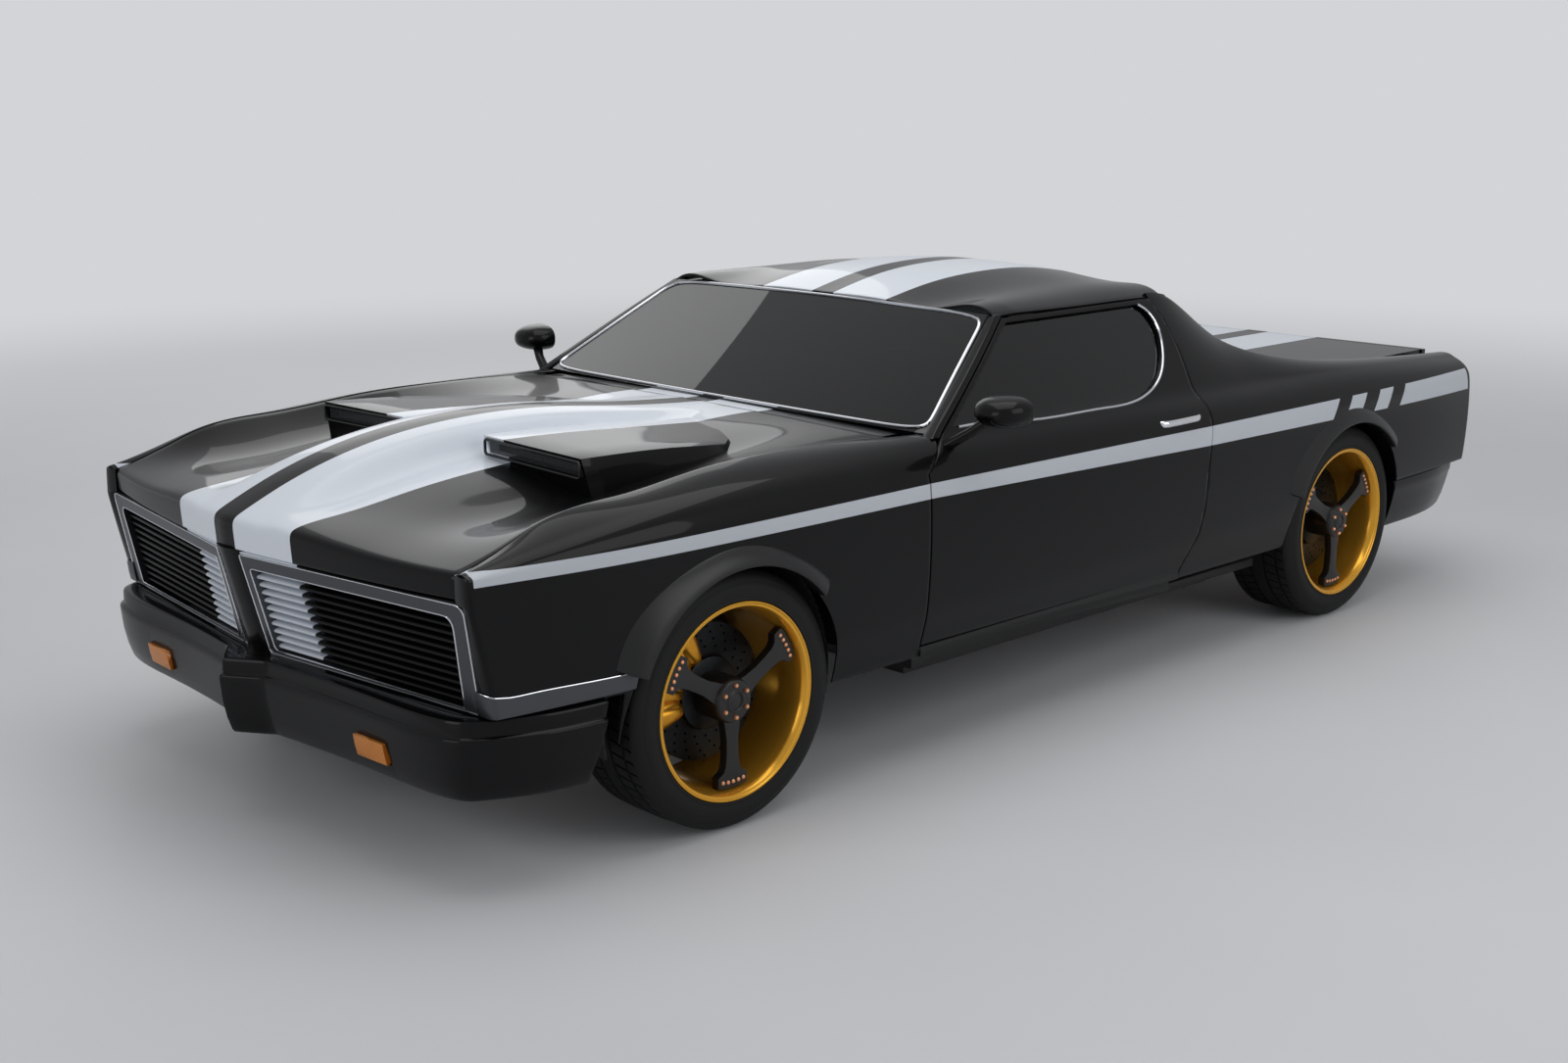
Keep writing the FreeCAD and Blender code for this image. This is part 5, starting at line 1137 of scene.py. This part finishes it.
opening = rounded_outline([(0.086, 0.446), (0.768, 0.442), (0.787, 0.664), (0.080, 0.662)],
                          [0.016, 0.006, 0.034, 0.014])
rim = rounded_outline([(0.062, 0.436), (0.816, 0.434), (0.829, 0.696), (0.054, 0.694)],
                      [0.010, 0.004, 0.030, 0.008])
rings = []
for (inner_x, inner_z), (outer_x, outer_z) in zip(opening, rim):
    out_x, out_z = outer_x - inner_x, outer_z - inner_z
    reach = math.hypot(out_x, out_z)
    ring = []
    for share, depth in ((0.0, 0.034), (0.0, 0.0015), (0.0015 / reach, 0.0), (0.5, -0.0008),
                         (1 - 0.0015 / reach, 0.0), (1.0, 0.0015), (1.0, 0.012), (0.5, 0.014), (0.05, 0.034)):
        x, z = inner_x + out_x * share, inner_z + out_z * share
        ring.append((x, face_y(x, z) - 0.004 + depth, z))
    rings.append(ring)
surround = loft("surround_frame", rings, closed=True)


def corner_line(z, t):
    """The nose's corner at a height: from the fender's skin (t 0) round to the surround's rim (t 1)."""
    front = -2.076 + (min(z, 0.69) - 0.436) * (-2.1345 + 2.076) / 0.254
    outer = Vector((skin_at(front, z, crest_x, crest_z) - 0.0004, front))
    rim_x = 0.812 + 0.012 * (z - 0.436) / 0.259 if z < 0.698 else 0.8045
    inner = Vector((rim_x, face_y(rim_x, min(z, 0.70)) - 0.002))
    turn_at = Vector((outer.x - 0.002, outer.y - 0.016))
    return outer * (1 - t) ** 2 + turn_at * 2 * t * (1 - t) + inner * t ** 2


rings = []
corner_heights = [*np.linspace(0.432, 0.696, 22), 0.6985, *np.linspace(0.706, 0.752, 6), 0.757, 0.761, 0.764]
for z in corner_heights:
    line = [corner_line(z, t) for t in np.linspace(0, 1, 12)]
    ring = [(point.x, point.y, z) for point in line]
    ring += [(line[-1].x, line[-1].y + 0.030, z), (line[0].x - 0.030, line[0].y + 0.040, z),
             (line[0].x - 0.006, line[0].y + 0.030, z)]
    rings.append(ring)
corner = loft("nose_corner", rings)
both_sides(corner, "nose_corner", "body", plain_paint, "body_paint")

blade_path = [corner_line(0.457, t) for t in np.linspace(0.99, 0.0, 16)]
blade_path += [Vector((skin_at(y, 0.457, crest_x, crest_z), y)) for y in np.linspace(-2.055, -1.727, 22)]
blade_top = line_through([(-2.140, 0.545), (-2.120, 0.530), (-2.108, 0.512), (-2.098, 0.496),
                          (-2.085, 0.4865),
                          (-2.065, 0.4820), (-2.00, 0.4812), (-1.85, 0.4800), (-1.727, 0.4785)])
rings, blade_stations = [], []
for index, point in enumerate(blade_path):
    along = (blade_path[min(index + 1, len(blade_path) - 1)] - blade_path[max(index - 1, 0)]).normalized()
    out = Vector((along.y, -along.x))
    low, high = 0.4335 + 0.004 * max(0.0, point.y + 2.055) / 0.328, blade_top(point.y)
    lean = 0.19 * max(0.0, min(1.0, (-2.055 - point.y) / 0.05))
    ring = []
    for height, reach in ((low, -0.004), (low, 0.0045), (low + 0.0016, 0.0060),
                          (low * 0.6 + high * 0.4, 0.0068),
                          (high - 0.0016, 0.0060), (high, 0.0045), (high, -0.004)):
        end = (height - low) / (high - low) * 0.012 if index == len(blade_path) - 1 else 0.0
        ring.append((point.x + out.x * reach, point.y + out.y * reach + (0.457 - height) * lean + end,
                     height))
    rings.append(ring)
    blade_stations.append((point.x + out.x * 0.006, point.y + out.y * 0.006 + (0.457 - high) * lean, high))
blade = loft("surround_blade", rings)
surround = joined([surround, blade], "surround_left")
right_surround = other_side(surround, "surround_right")
surround = joined([surround, right_surround], "grille_surround_dressed")
finished(surround, "grille_surround", satin_grey, "bright_trim")

edges = []
for line in (opening, rim):
    path = [(x, face_y(x, z) - 0.0045, z) for x, z in line]
    path = [point for index, point in enumerate(path)
            if (Vector(point) - Vector(path[index - 1])).length > 0.0006]
    edges.append(swept("edge", path, round_profile(0.0019, 6), closed=True, up=(0, -1, 0)))
edges.append(swept("edge", blade_stations[4:], round_profile(0.0017, 6)))
both_sides(joined(edges, "surround_edge"), "surround_edge", "body", bright, "bright_trim")

# The white of the stripes runs on over the slats, in satin paint; it is mixed greyer than the stripes' white,
# as painted shade for the slats set back in the grille.
slat_paint_with_painted_shade = new_material("slats painted black and stripe white")
apart = add_node(slat_paint_with_painted_shade, "ShaderNodeSeparateXYZ",
                 {"Vector": add_node(slat_paint_with_painted_shade, "ShaderNodeTexCoord").outputs["Object"]}).outputs
from_middle = add_node(slat_paint_with_painted_shade, "ShaderNodeMath", {0: apart["X"]}, operation="ABSOLUTE").outputs["Value"]
edge_shift = add_node(slat_paint_with_painted_shade, "ShaderNodeMath", {0: apart["Z"], 1: 0.085, 2: from_middle},
                      operation="MULTIPLY_ADD").outputs["Value"]
in_stripe = add_node(slat_paint_with_painted_shade, "ShaderNodeMath", {0: edge_shift, 1: 0.295},
                     operation="LESS_THAN").outputs["Value"]
# The slats' white, #C9CFD8, is greyer than the stripe white: painted shade.
slat_shader = add_node(slat_paint_with_painted_shade, "ShaderNodeBsdfPrincipled", {
    "Base Color": add_node(slat_paint_with_painted_shade, "ShaderNodeMixRGB",
                           {"Fac": in_stripe, "Color1": black_with_tone(slat_paint_with_painted_shade),
                            "Color2": linear("#C9CFD8")}).outputs["Color"],
    "Roughness": 0.34, "Specular IOR Level": 0.15})
finish_material(slat_paint_with_painted_shade, slat_shader.outputs["BSDF"])

slats = []
for slat in range(11):
    z = 0.4535 + 0.0203 * slat
    share = (z - 0.446) / 0.218
    x_from, x_to = 0.078 - 0.006 * share, 0.776 + 0.018 * share
    rings = []
    for x in np.linspace(x_from, x_to, 9):
        rings.append([(x, face_y(x, z) + 0.007 + back, z + up) for back, up in (
            (0.0, 0.0), (0.0005, 0.0030), (0.0025, 0.0052), (0.0070, 0.0066), (0.0260, 0.0100),
            (0.0265, 0.0085),
            (0.0100, -0.0010), (0.0040, -0.0030), (0.0012, -0.0022))])
    slats.append(loft("slat", rings))
slats.append(loft("back_plate", [[(x, face_y(x, z) + depth, z) for z, depth in (
    (0.438, 0.036), (0.692, 0.036), (0.692, 0.040), (0.438, 0.040))] for x in np.linspace(0.060, 0.822, 9)]))
half_grille = joined(slats, "grille_half")
grille = joined([half_grille, other_side(half_grille, "grille_half_right")], "grille_dressed")
finished(grille, "grille", slat_paint_with_painted_shade, "grille_black")

# The scoops' mouths: woven steel wire in front of a back plate of the same steel, held by a black rim on the
# hood.

mouth_inside, mouth_width = 0.1915, 0.384


def wire_point(row, column):
    """A place on the mesh, whose mouth is a little higher inside than outside."""
    return (mouth_inside + mouth_width * column, -1.594,
            0.8765 - 0.008 * column + (0.0345 + 0.0005 * column) * row)


# The wires glint unevenly: the pale grey that a fine noise mixes over the darkened steel is painted glint, so
# the tone changes from wire to wire.
wire_steel_with_painted_glints = worn("darkened steel wire with painted glints", ("#2C2C2D", "#77797B"), 300.0, surface={"Metallic": 0.6})
mesh_wire = sheet("scoop_wire", 9, 88, wire_point)
applied(mesh_wire, "WIREFRAME", thickness=0.0013, use_even_offset=False)
mesh_back = sheet("scoop_back", 1, 8, lambda row, column: (
    mouth_inside + mouth_width * column, -1.566, 0.8765 - 0.008 * column + 0.035 * row))
applied(mesh_back, "SOLIDIFY", thickness=0.002)
mesh_wire = joined([mesh_wire, mesh_back], "scoop_mesh_half")
mesh_wire = joined([mesh_wire, other_side(mesh_wire, "scoop_mesh_right")], "scoop_mesh_dressed")
finished(mesh_wire, "scoop_mesh", wire_steel_with_painted_glints, "mesh_black")
mouth_line = rounded_outline([(0.189, 0.874), (0.578, 0.866), (0.578, 0.906), (0.189, 0.913)], [0.009] * 4, 5)
mouth_rims = [swept("mouth_rim", [(side * x, -1.6085, z) for x, z in mouth_line], round_profile(0.0040, 8),
                    closed=True, up=(0, 1, 0)) for side in (1, -1)]
placed(joined(mouth_rims, "scoop_rims"), "hood", flare_paint, "body_paint")

# The wheels: low tyres on deep polished rims anodised gold, each held by a black three-armed spider
# whose flared ends are riveted into the barrel, with six copper nuts round a blank cap.
wheel_x = 0.786
lip = 0.129
wheel_places = [("front_left", 1, -axle_place), ("front_right", -1, -axle_place),
                ("rear_left", 1, axle_place),
                ("rear_right", -1, axle_place)]


def spun(name, profile, turns):
    """A piece turned about the wheel's axis: the profile's points are (outward, radius)."""
    rings = [[(out, radius * math.cos(angle), radius * math.sin(angle)) for out, radius in profile]
             for angle in turns]
    return loft(name, rings, closed=True)


def set_up(piece, name, side, y, body, material, slot, node=None):
    """A copy of a piece modelled about its centre, put at its wheel, mirrored for the right side."""
    copy = copied(piece, name)
    for vertex in copy.data.vertices:
        vertex.co = (side * (vertex.co.x + wheel_x), vertex.co.y + y, vertex.co.z + axle_height)
    if side < 0:
        copy.data.flip_normals()
    return placed(copy, body, material, slot, 30, node)


def on_wheels(pattern, word, material, slot, replacing=True, rolling=True):
    """A pattern's four copies at the wheels; the pattern goes."""
    for wheel, side, y in wheel_places:
        standing = f"knuckle_{wheel[6:]}" if wheel.startswith("front") else "body"
        set_up(pattern, f"{word}_{wheel}_dressed" if replacing else f"{word}_{wheel}", side, y,
               f"wheel_{wheel}" if rolling else standing, material, slot,
               f"{word}_{wheel}" if replacing else None)
    bpy.data.objects.remove(pattern)


full_turn = [math.radians(angle) for angle in np.arange(0, 360, 2.25)]

# Dusty rubber is nearly black and hardly shines.
rubber = worn("black tyre rubber, lightly dusted", ("#0B0B0B", "#121212"), 9.0, 4.0, rough=0.66,
              grain=(700.0, 0.15),
              surface={"Specular IOR Level": 0.3})

sidewall = [(0.1225, 0.2403), (0.1225, 0.2523), (0.1268, 0.2532), (0.1300, 0.2560), (0.1303, 0.2600),
            (0.1290, 0.2625), (0.1296, 0.2655), (0.1306, 0.2720), (0.1309, 0.2800), (0.1302, 0.2880),
            (0.1290, 0.2940), (0.1284, 0.2948), (0.1284, 0.2962), (0.1276, 0.2970), (0.1250, 0.3040),
            (0.1215, 0.3110), (0.1165, 0.3175), (0.1110, 0.3225), (0.1050, 0.3258)]
grooves = [-0.074, -0.026, 0.026, 0.074]
tread = []
for groove in grooves[::-1]:
    tread += [groove + 0.0052, groove + 0.0036, groove - 0.0036, groove - 0.0052]
tread_line = [0.098, 0.088] + tread[0:4] + [0.050] + tread[4:8] + [0.0]
tread_line += tread[8:12] + [-0.050] + tread[12:16] + [-0.088, -0.098]
rings = []
for block in range(60):
    for step, deep in ((0.0, 0), (0.35, 1), (0.95, 1), (1.3, 0), (2.8, 0), (4.5, 0)):
        ring = [(out, radius) for out, radius in sidewall]
        for out in tread_line:
            in_groove = any(abs(out - groove) < 0.0040 for groove in grooves)
            crown = axle_height - 0.0026 * (out / 0.098) ** 2
            notch = 0.0045 if deep and abs(out) > 0.030 and not in_groove else 0.0
            ring.append((out, crown - (0.0070 if in_groove else notch)))
        ring += [(-out, radius) for out, radius in sidewall[::-1]]
        turned = [math.radians(block * 6 + step + (45 * max(abs(out) - 0.03, 0) if radius > 0.318 else 0.0))
                  for out, radius in ring]
        rings.append([(out, radius * math.cos(angle), radius * math.sin(angle))
                      for (out, radius), angle in zip(ring, turned)])
tyre = loft("tyre_pattern", rings, closed=True)
on_wheels(tyre, "tyre", rubber, "tyre_rubber")

# Anodised metal shines in its own colour, with fine turned lines.
gold = worn("polished aluminium anodised gold", ("#E2A22A", "#EDB343"), 1.0, stretch=(900.0, 6.0, 6.0),
            rough=(0.14, 0.24), surface={"Metallic": 0.72})

barrel = [(0.1235, 0.2405), (0.1235, 0.2516), (0.1250, 0.2522), (0.1272, 0.2522), (0.1287, 0.2514),
          (0.1292, 0.2500), (0.1290, 0.2484), (0.1278, 0.2470), (0.1262, 0.2462), (0.1255, 0.2448),
          (0.1252, 0.2405), (0.1235, 0.2385), (0.1200, 0.2372), (0.1170, 0.2350), (0.1080, 0.2318),
          (0.0950, 0.2280), (0.0800, 0.2266), (0.0400, 0.2268), (0.0000, 0.2275), (-0.0600, 0.2285),
          (-0.1200, 0.2298), (-0.1290, 0.2310), (-0.1290, 0.2515), (-0.1235, 0.2515), (-0.1235, 0.2405)]
on_wheels(spun("rim_pattern", barrel, full_turn), "rim", gold, "gold_rim")

# Powder coat shines softly and has a faint grain.
satin_black = worn("satin black powder coat", ("#0B0B0C", "#131314"), 420.0, rough=0.38, grain=(0, 0.08))
# Copper plate catches small, warm highlights.
copper = worn("copper plated steel", ("#E8A27A", "#F5C09A"), 240.0, rough=0.28, surface={"Metallic": 0.8})

arm_face = lip - 0.022
arm_half = [(0.034, -0.030), (0.025, -0.060), (0.0190, -0.100), (0.0195, -0.140), (0.0225, -0.170),
            (0.030, -0.184), (0.0475, -0.194), (0.0475, -0.2200)]
arm_end = [(across, -math.sqrt(0.2257 ** 2 - across ** 2))
           for across in (0.034, 0.022, 0.010, -0.010, -0.022, -0.034)]
arm_outline = arm_half + arm_end + [(-y, z) for y, z in arm_half[::-1]]
arms = []
for turn_by in (0, 120, 240):
    turn_by = math.radians(turn_by)
    arms.append(prism([(y * math.cos(turn_by) - z * math.sin(turn_by),
                        y * math.sin(turn_by) + z * math.cos(turn_by))
                       for y, z in arm_outline], arm_face - 0.024, arm_face))
spider = arms[0]
hub = spun("hub", [(-0.020, 0.002), (-0.020, 0.058)] + [(arm_face + out, radius) for out, radius in (
    (-0.024, 0.0585), (-0.004, 0.0580), (0.004, 0.0560), (0.010, 0.0520), (0.0115, 0.0480), (0.0115, 0.0340),
    (0.0125, 0.0290), (0.0150, 0.0270), (0.0160, 0.0250), (0.0150, 0.0225), (0.0120, 0.0210),
    (0.0122, 0.0190),
    (0.0150, 0.0120), (0.0160, 0.0002))], full_turn[::2])
for joining in arms[1:] + [hub]:
    trimmed(spider, joining, "UNION")
on_wheels(bevelled(spider, 0.0022), "spider", satin_black, "spoke_black")


def stud(out, y, z, radius, height, corners=14):
    """A domed head: a small cylinder with a rounded top, standing outwards."""
    profile = [(out - 0.002, 0.0002), (out - 0.002, radius), (out + height * 0.45, radius),
               (out + height * 0.8, radius * 0.78), (out + height, radius * 0.35), (out + height, 0.0002)]
    head = spun("stud", profile, [2 * math.pi * step / corners for step in range(corners)])
    for vertex in head.data.vertices:
        vertex.co.y += y
        vertex.co.z += z
    return head


rivet_radius, nut_radius = 0.2095, 0.0410
studs = []
for turn_by in (0, 120, 240):
    for across in (-0.034, -0.017, 0.0, 0.017, 0.034):
        angle = math.radians(turn_by - 90) + across / rivet_radius
        studs.append(stud(arm_face, rivet_radius * math.cos(angle), rivet_radius * math.sin(angle), 0.0052,
                          0.0055))
for step in range(6):
    angle = math.radians(30 + 60 * step)
    studs.append(stud(arm_face + 0.0115, nut_radius * math.cos(angle), nut_radius * math.sin(angle), 0.0066,
                      0.0085, 6))
on_wheels(joined(studs, "studs"), "studs", copper, "spoke_black", replacing=False)

# The brakes: drilled cast iron discs behind the spiders, which turn with the wheels, gripped by large
# calipers finished in gold on the knuckles in front and on the body behind.

# Machined iron has a dull grey sheen.
disc_iron = worn("machined cast iron", ("#1C1D1E", "#2C2E30"), 55.0, 5.0, rough=0.42,
                 surface={"Metallic": 0.9})
disc_face = lip - 0.122
disc = spun("disc_pattern", [(disc_face + out, radius) for out, radius in (
    (-0.026, 0.030), (-0.026, 0.1765), (-0.024, 0.178), (-0.016, 0.178), (-0.016, 0.170), (-0.010, 0.170),
    (-0.010, 0.178), (-0.0015, 0.178), (0.0, 0.1765), (0.0, 0.098), (0.004, 0.094), (0.018, 0.092),
    (0.020, 0.088), (0.020, 0.030))], full_turn)
drills = []
for row, radius in enumerate((0.116, 0.134, 0.152, 0.168)):
    for step in range(20):
        angle = math.radians(18 * step + 5.5 * row)
        bpy.ops.mesh.primitive_cylinder_add(
            vertices=10, radius=0.0036, depth=0.012, rotation=(0, math.pi / 2, 0),
            location=(disc_face, radius * math.cos(angle), radius * math.sin(angle)))
        drills.append(bpy.context.object)
drills = joined(drills, "drills")
bpy.ops.object.transform_apply(location=True, rotation=True, scale=True)
trimmed(disc, drills, "DIFFERENCE")
on_wheels(disc, "disc", disc_iron, "cast_metal", replacing=False)

# The cast surface breaks up the sheen of the gold.
caliper_gold = worn("gold anodised cast aluminium", ("#C98A22", "#D89B33"), 160.0, 3.0, rough=0.30,
                    grain=(0, 0.1),
                    surface={"Metallic": 0.85})
caliper_profile = [(disc_face + out, radius) for out, radius in (
    (0.006, 0.094), (0.026, 0.098), (0.036, 0.106), (0.040, 0.120), (0.040, 0.150), (0.037, 0.176),
    (0.024, 0.192),
    (0.008, 0.197), (-0.034, 0.197), (-0.056, 0.180), (-0.060, 0.100), (-0.032, 0.096), (-0.032, 0.185),
    (0.006, 0.185))]
lobes = []
for first, last in ((108, 150), (158, 200)):
    caliper_rings = []
    middle = (first + last) / 2
    for angle in np.linspace(first, last, 29):
        waist = 0.012 * math.exp(-((angle - middle) / 4.5) ** 2)
        pull = 0.014 * (abs(angle - middle) / 21) ** 6
        ring = [(out - (waist + pull) * (out > disc_face + 0.02), radius - waist * (radius > 0.186))
                for out, radius in caliper_profile]
        caliper_rings.append([(out, radius * math.cos(math.radians(angle)),
                               radius * math.sin(math.radians(angle)))
                              for out, radius in ring])
    lobes.append(loft("caliper_lobe", caliper_rings))
bridge_profile = [(disc_face - 0.012 + out, radius) for out, radius in (
    (0.022, 0.125), (0.030, 0.130), (0.030, 0.172), (0.018, 0.186), (-0.030, 0.190), (-0.030, 0.186),
    (0.016, 0.180),
    (0.018, 0.125))]
lobes.append(loft("caliper_bridge", [
    [(out, radius * math.cos(math.radians(angle)), radius * math.sin(math.radians(angle)))
     for out, radius in bridge_profile] for angle in np.linspace(146, 162, 6)]))
caliper = bevelled(joined(lobes, "caliper_pattern"), 0.004)
on_wheels(caliper, "caliper", caliper_gold, "chassis_black", replacing=False, rolling=False)

upright = prism([(-0.045, -0.108), (0.045, -0.108), (0.050, -0.060), (0.062, -0.020), (0.062, 0.030),
                 (0.040, 0.075),
                 (0.036, 0.108), (-0.036, 0.108), (-0.040, 0.075), (-0.110, 0.060), (-0.110, 0.010),
                 (-0.062, -0.020),
                 (-0.050, -0.060)], lip - 0.193, lip - 0.156)
trimmed(upright, spun("bearing", [(lip - 0.200, 0.0002), (lip - 0.200, 0.046), (lip - 0.158, 0.046),
                                  (lip - 0.158, 0.030), (lip - 0.1485, 0.030), (lip - 0.1485, 0.0002)],
                      full_turn[::4]), "UNION")
bevelled(upright, 0.003, 2)
for wheel, side, y in wheel_places[:2]:
    word = wheel[6:]
    set_up(upright, f"knuckle_{word}_dressed", side, y, f"knuckle_{word}", satin_black, "chassis_black",
           f"knuckle_{word}")
bpy.data.objects.remove(upright)

# The lamps: ribbed plastic lenses, amber in the front bumper and red in the tail panel, the red ones in
# bright frames.

lens_proud = 0.020
for name, pale, deep, node, slot in (("ribbed amber lens", "#EE9C3E", "#CC7422", "front_lamps", "amber_lens"),
                                     ("ribbed red lens", "#A01418", "#6E0A0E", "tail_lamps", "red_lens")):
    # The ribs break the light into fine upright lines: the bump makes them, and the pale and deep bands mixed
    # into the colour along the ribs are painted highlight and shade.
    lens = new_material(name)
    place = add_node(lens, "ShaderNodeTexCoord").outputs["Object"]
    ribs = add_node(lens, "ShaderNodeTexWave", {"Vector": place, "Scale": 60.0}, bands_direction="X")
    rib_bump = add_node(lens, "ShaderNodeBump", {"Height": ribs.outputs["Fac"], "Strength": 0.5,
                                                 "Distance": 0.002})
    lens_shader = add_node(lens, "ShaderNodeBsdfPrincipled", {
        "Base Color": add_node(lens, "ShaderNodeMixRGB",
                               {"Fac": ribs.outputs["Fac"], "Color1": linear(deep),
                                "Color2": linear(pale)}).outputs["Color"], "Roughness": 0.16,
        "Transmission Weight": 0.15, "Normal": rib_bump.outputs["Normal"]})
    finish_material(lens, lens_shader.outputs["BSDF"])
    lens_piece = dressed(node, lens, slot)
    if node == "front_lamps":
        for vertex in lens_piece.data.vertices:
            vertex.co.y -= lens_proud
outline = rounded_outline([(0.377, 0.557), (0.743, 0.557), (0.743, 0.663), (0.377, 0.663)], [0.008] * 4, 5)
frames = [swept("lamp_frame", [(side * x, 2.2775, z) for x, z in outline], round_profile(0.0042, 8),
                closed=True,
                up=(0, 1, 0)) for side in (1, -1)]
placed(joined(frames, "tail_lamp_frames"), "body", bright, "bright_trim")

# The seats: two buckets and a rear bench of black leather over foam, each cushion padded and sewn in
# channels, on low black shells.

# Moulded plastic with a fine grain looks even and dull.
satin_trim = worn("satin black moulded trim", ("#0A0A0A", "#121212"), 500.0, rough=0.5, grain=(0, 0.1))
# The grain of the hide breaks the sheen into small cells.
leather = new_material("black grained leather")
place = add_node(leather, "ShaderNodeTexCoord").outputs["Object"]
hide = add_node(leather, "ShaderNodeTexVoronoi", {"Vector": place, "Scale": 420.0})
hide_bump = add_node(leather, "ShaderNodeBump", {
    "Height": hide.outputs["Distance"], "Strength": 0.25, "Distance": 0.001})
hide_tone = add_node(leather, "ShaderNodeTexNoise", {"Vector": place, "Scale": 12.0, "Detail": 3.0})
leather_shader = add_node(leather, "ShaderNodeBsdfPrincipled", {
    "Base Color": add_node(leather, "ShaderNodeMixRGB",
                           {"Fac": hide_tone.outputs["Fac"], "Color1": linear("#141414"),
                            "Color2": linear("#1E1D1D")}).outputs["Color"],
    "Roughness": 0.46, "Normal": hide_bump.outputs["Normal"]})
finish_material(leather, leather_shader.outputs["BSDF"])


def cushion(name, low, high, round_by, swell, channels, lean=0.0):
    """A padded cushion in a box: a rounded form blown up by a cloth simulation, with sewn channels."""
    bpy.ops.object.select_all(action="DESELECT")
    bpy.ops.mesh.primitive_cube_add(size=1)
    piece = bpy.context.object
    piece.name = name
    inset = swell * 0.8
    for vertex in piece.data.vertices:
        vertex.co = [low[axis] + inset + (high[axis] - low[axis] - 2 * inset) * (vertex.co[axis] + 0.5)
                     for axis in range(3)]
    applied(piece, "BEVEL", width=round_by, segments=5)
    piece.data.remesh_voxel_size = 0.009
    chosen(piece)
    bpy.ops.object.voxel_remesh()
    start = [vertex.co.copy() for vertex in piece.data.vertices]
    cloth = piece.modifiers.new("cloth", "CLOTH")
    cloth.settings.use_pressure = True
    cloth.settings.uniform_pressure_force = 4
    cloth.settings.effector_weights.gravity = 0
    cloth.settings.quality = 4
    for frame_number in range(1, 21):
        bpy.context.scene.frame_set(frame_number)
    blown = piece.evaluated_get(bpy.context.evaluated_depsgraph_get())
    moved = [vertex.co.copy() for vertex in blown.data.vertices]
    piece.modifiers.remove(cloth)
    bpy.context.scene.frame_set(1)
    for vertex, before, after in zip(piece.data.vertices, start, moved):
        step = after - before
        vertex.co = before + step * min(1.0, swell / max(step.length, 0.000001))
    axis, count = channels
    for vertex in piece.data.vertices:
        along = (vertex.co[axis] - low[axis]) / (high[axis] - low[axis]) * count
        dip = 0.006 * math.exp(-((along - round(along)) * (high[axis] - low[axis]) / count / 0.006) ** 2)
        inner = 0.0 if round(along) in (0, count) else 1.0
        vertex.co -= vertex.normal * dip * inner
        vertex.co.y += lean * (vertex.co.z - low[2])
    return piece


cushions = []
for side, word in ((1, "left"), (-1, "right")):
    x = 0.40 * side
    cushions.append(cushion(f"seat_cushion_{word}", (x - 0.24, -0.258, 0.330), (x + 0.24, 0.205, 0.458),
                            0.045,
                            0.010, (0, 6)))
    cushions.append(cushion(f"seat_back_{word}", (x - 0.235, 0.206, 0.440), (x + 0.235, 0.328, 0.975), 0.045,
                            0.009, (0, 6)))
cushions.append(cushion("bench_cushion", (-0.595, 0.605, 0.320), (0.595, 0.850, 0.448), 0.045, 0.010,
                        (0, 12)))
cushions.append(cushion("bench_back", (-0.595, 0.853, 0.420), (0.595, 0.948, 0.798), 0.035, 0.008, (0, 12)))
for index, piece in enumerate(cushions):
    placed(piece, "body", leather, "seat_leather", 60)
    if index == 0:
        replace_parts(piece, "seats")
shells = []
for x_low, x_high, y_low, y_high in ((0.175, 0.625, -0.245, 0.225), (-0.625, -0.175, -0.245, 0.225),
                                     (-0.58, 0.58, 0.615, 0.935)):
    shells.append(prism([(y_low + 0.02, 0.263), (y_high - 0.01, 0.263), (y_high, 0.335), (y_low, 0.335)],
                        x_low, x_high))
shells = bevelled(joined(shells, "seat_shells"), 0.012, 3, 40)
placed(shells, "body", satin_trim, "cabin_plastic")

# What lies inside and below: the grained dashboard, the coated underbody, cast and painted running
# gear, and a stainless exhaust.
for node, name, dark, pale, scale, roughness, metallic, slot in (
        ("dashboard", "grained black cabin plastic", "#0E0E0E", "#151515", 30.0, 0.55, 0.0, "cabin_plastic"),
        ("floor_pan", "black underbody coating", "#0A0A0A", "#131313", 14.0, 0.62, 0.0, "underbody_black"),
        ("drivetrain", "cast iron, lightly oiled", "#3B3D3F", "#56585A", 18.0, 0.45, 0.85, "cast_metal"),
        ("exhaust", "stainless steel tube", "#9A9A98", "#B9B8B4", 9.0, 0.28, 1.0, "exhaust_steel"),
        ("rear_axle", "black chassis enamel", "#0D0D0D", "#171717", 16.0, 0.42, 0.0, "chassis_black"),
        ("front_suspension", "black chassis enamel on arms", "#0D0D0D", "#171717", 16.0, 0.42, 0.0,
         "chassis_black")):
    dressed(node, worn(name, (dark, pale), scale, 4.0, rough=roughness, grain=(380.0, 0.1),
                       surface={"Metallic": metallic}), slot)
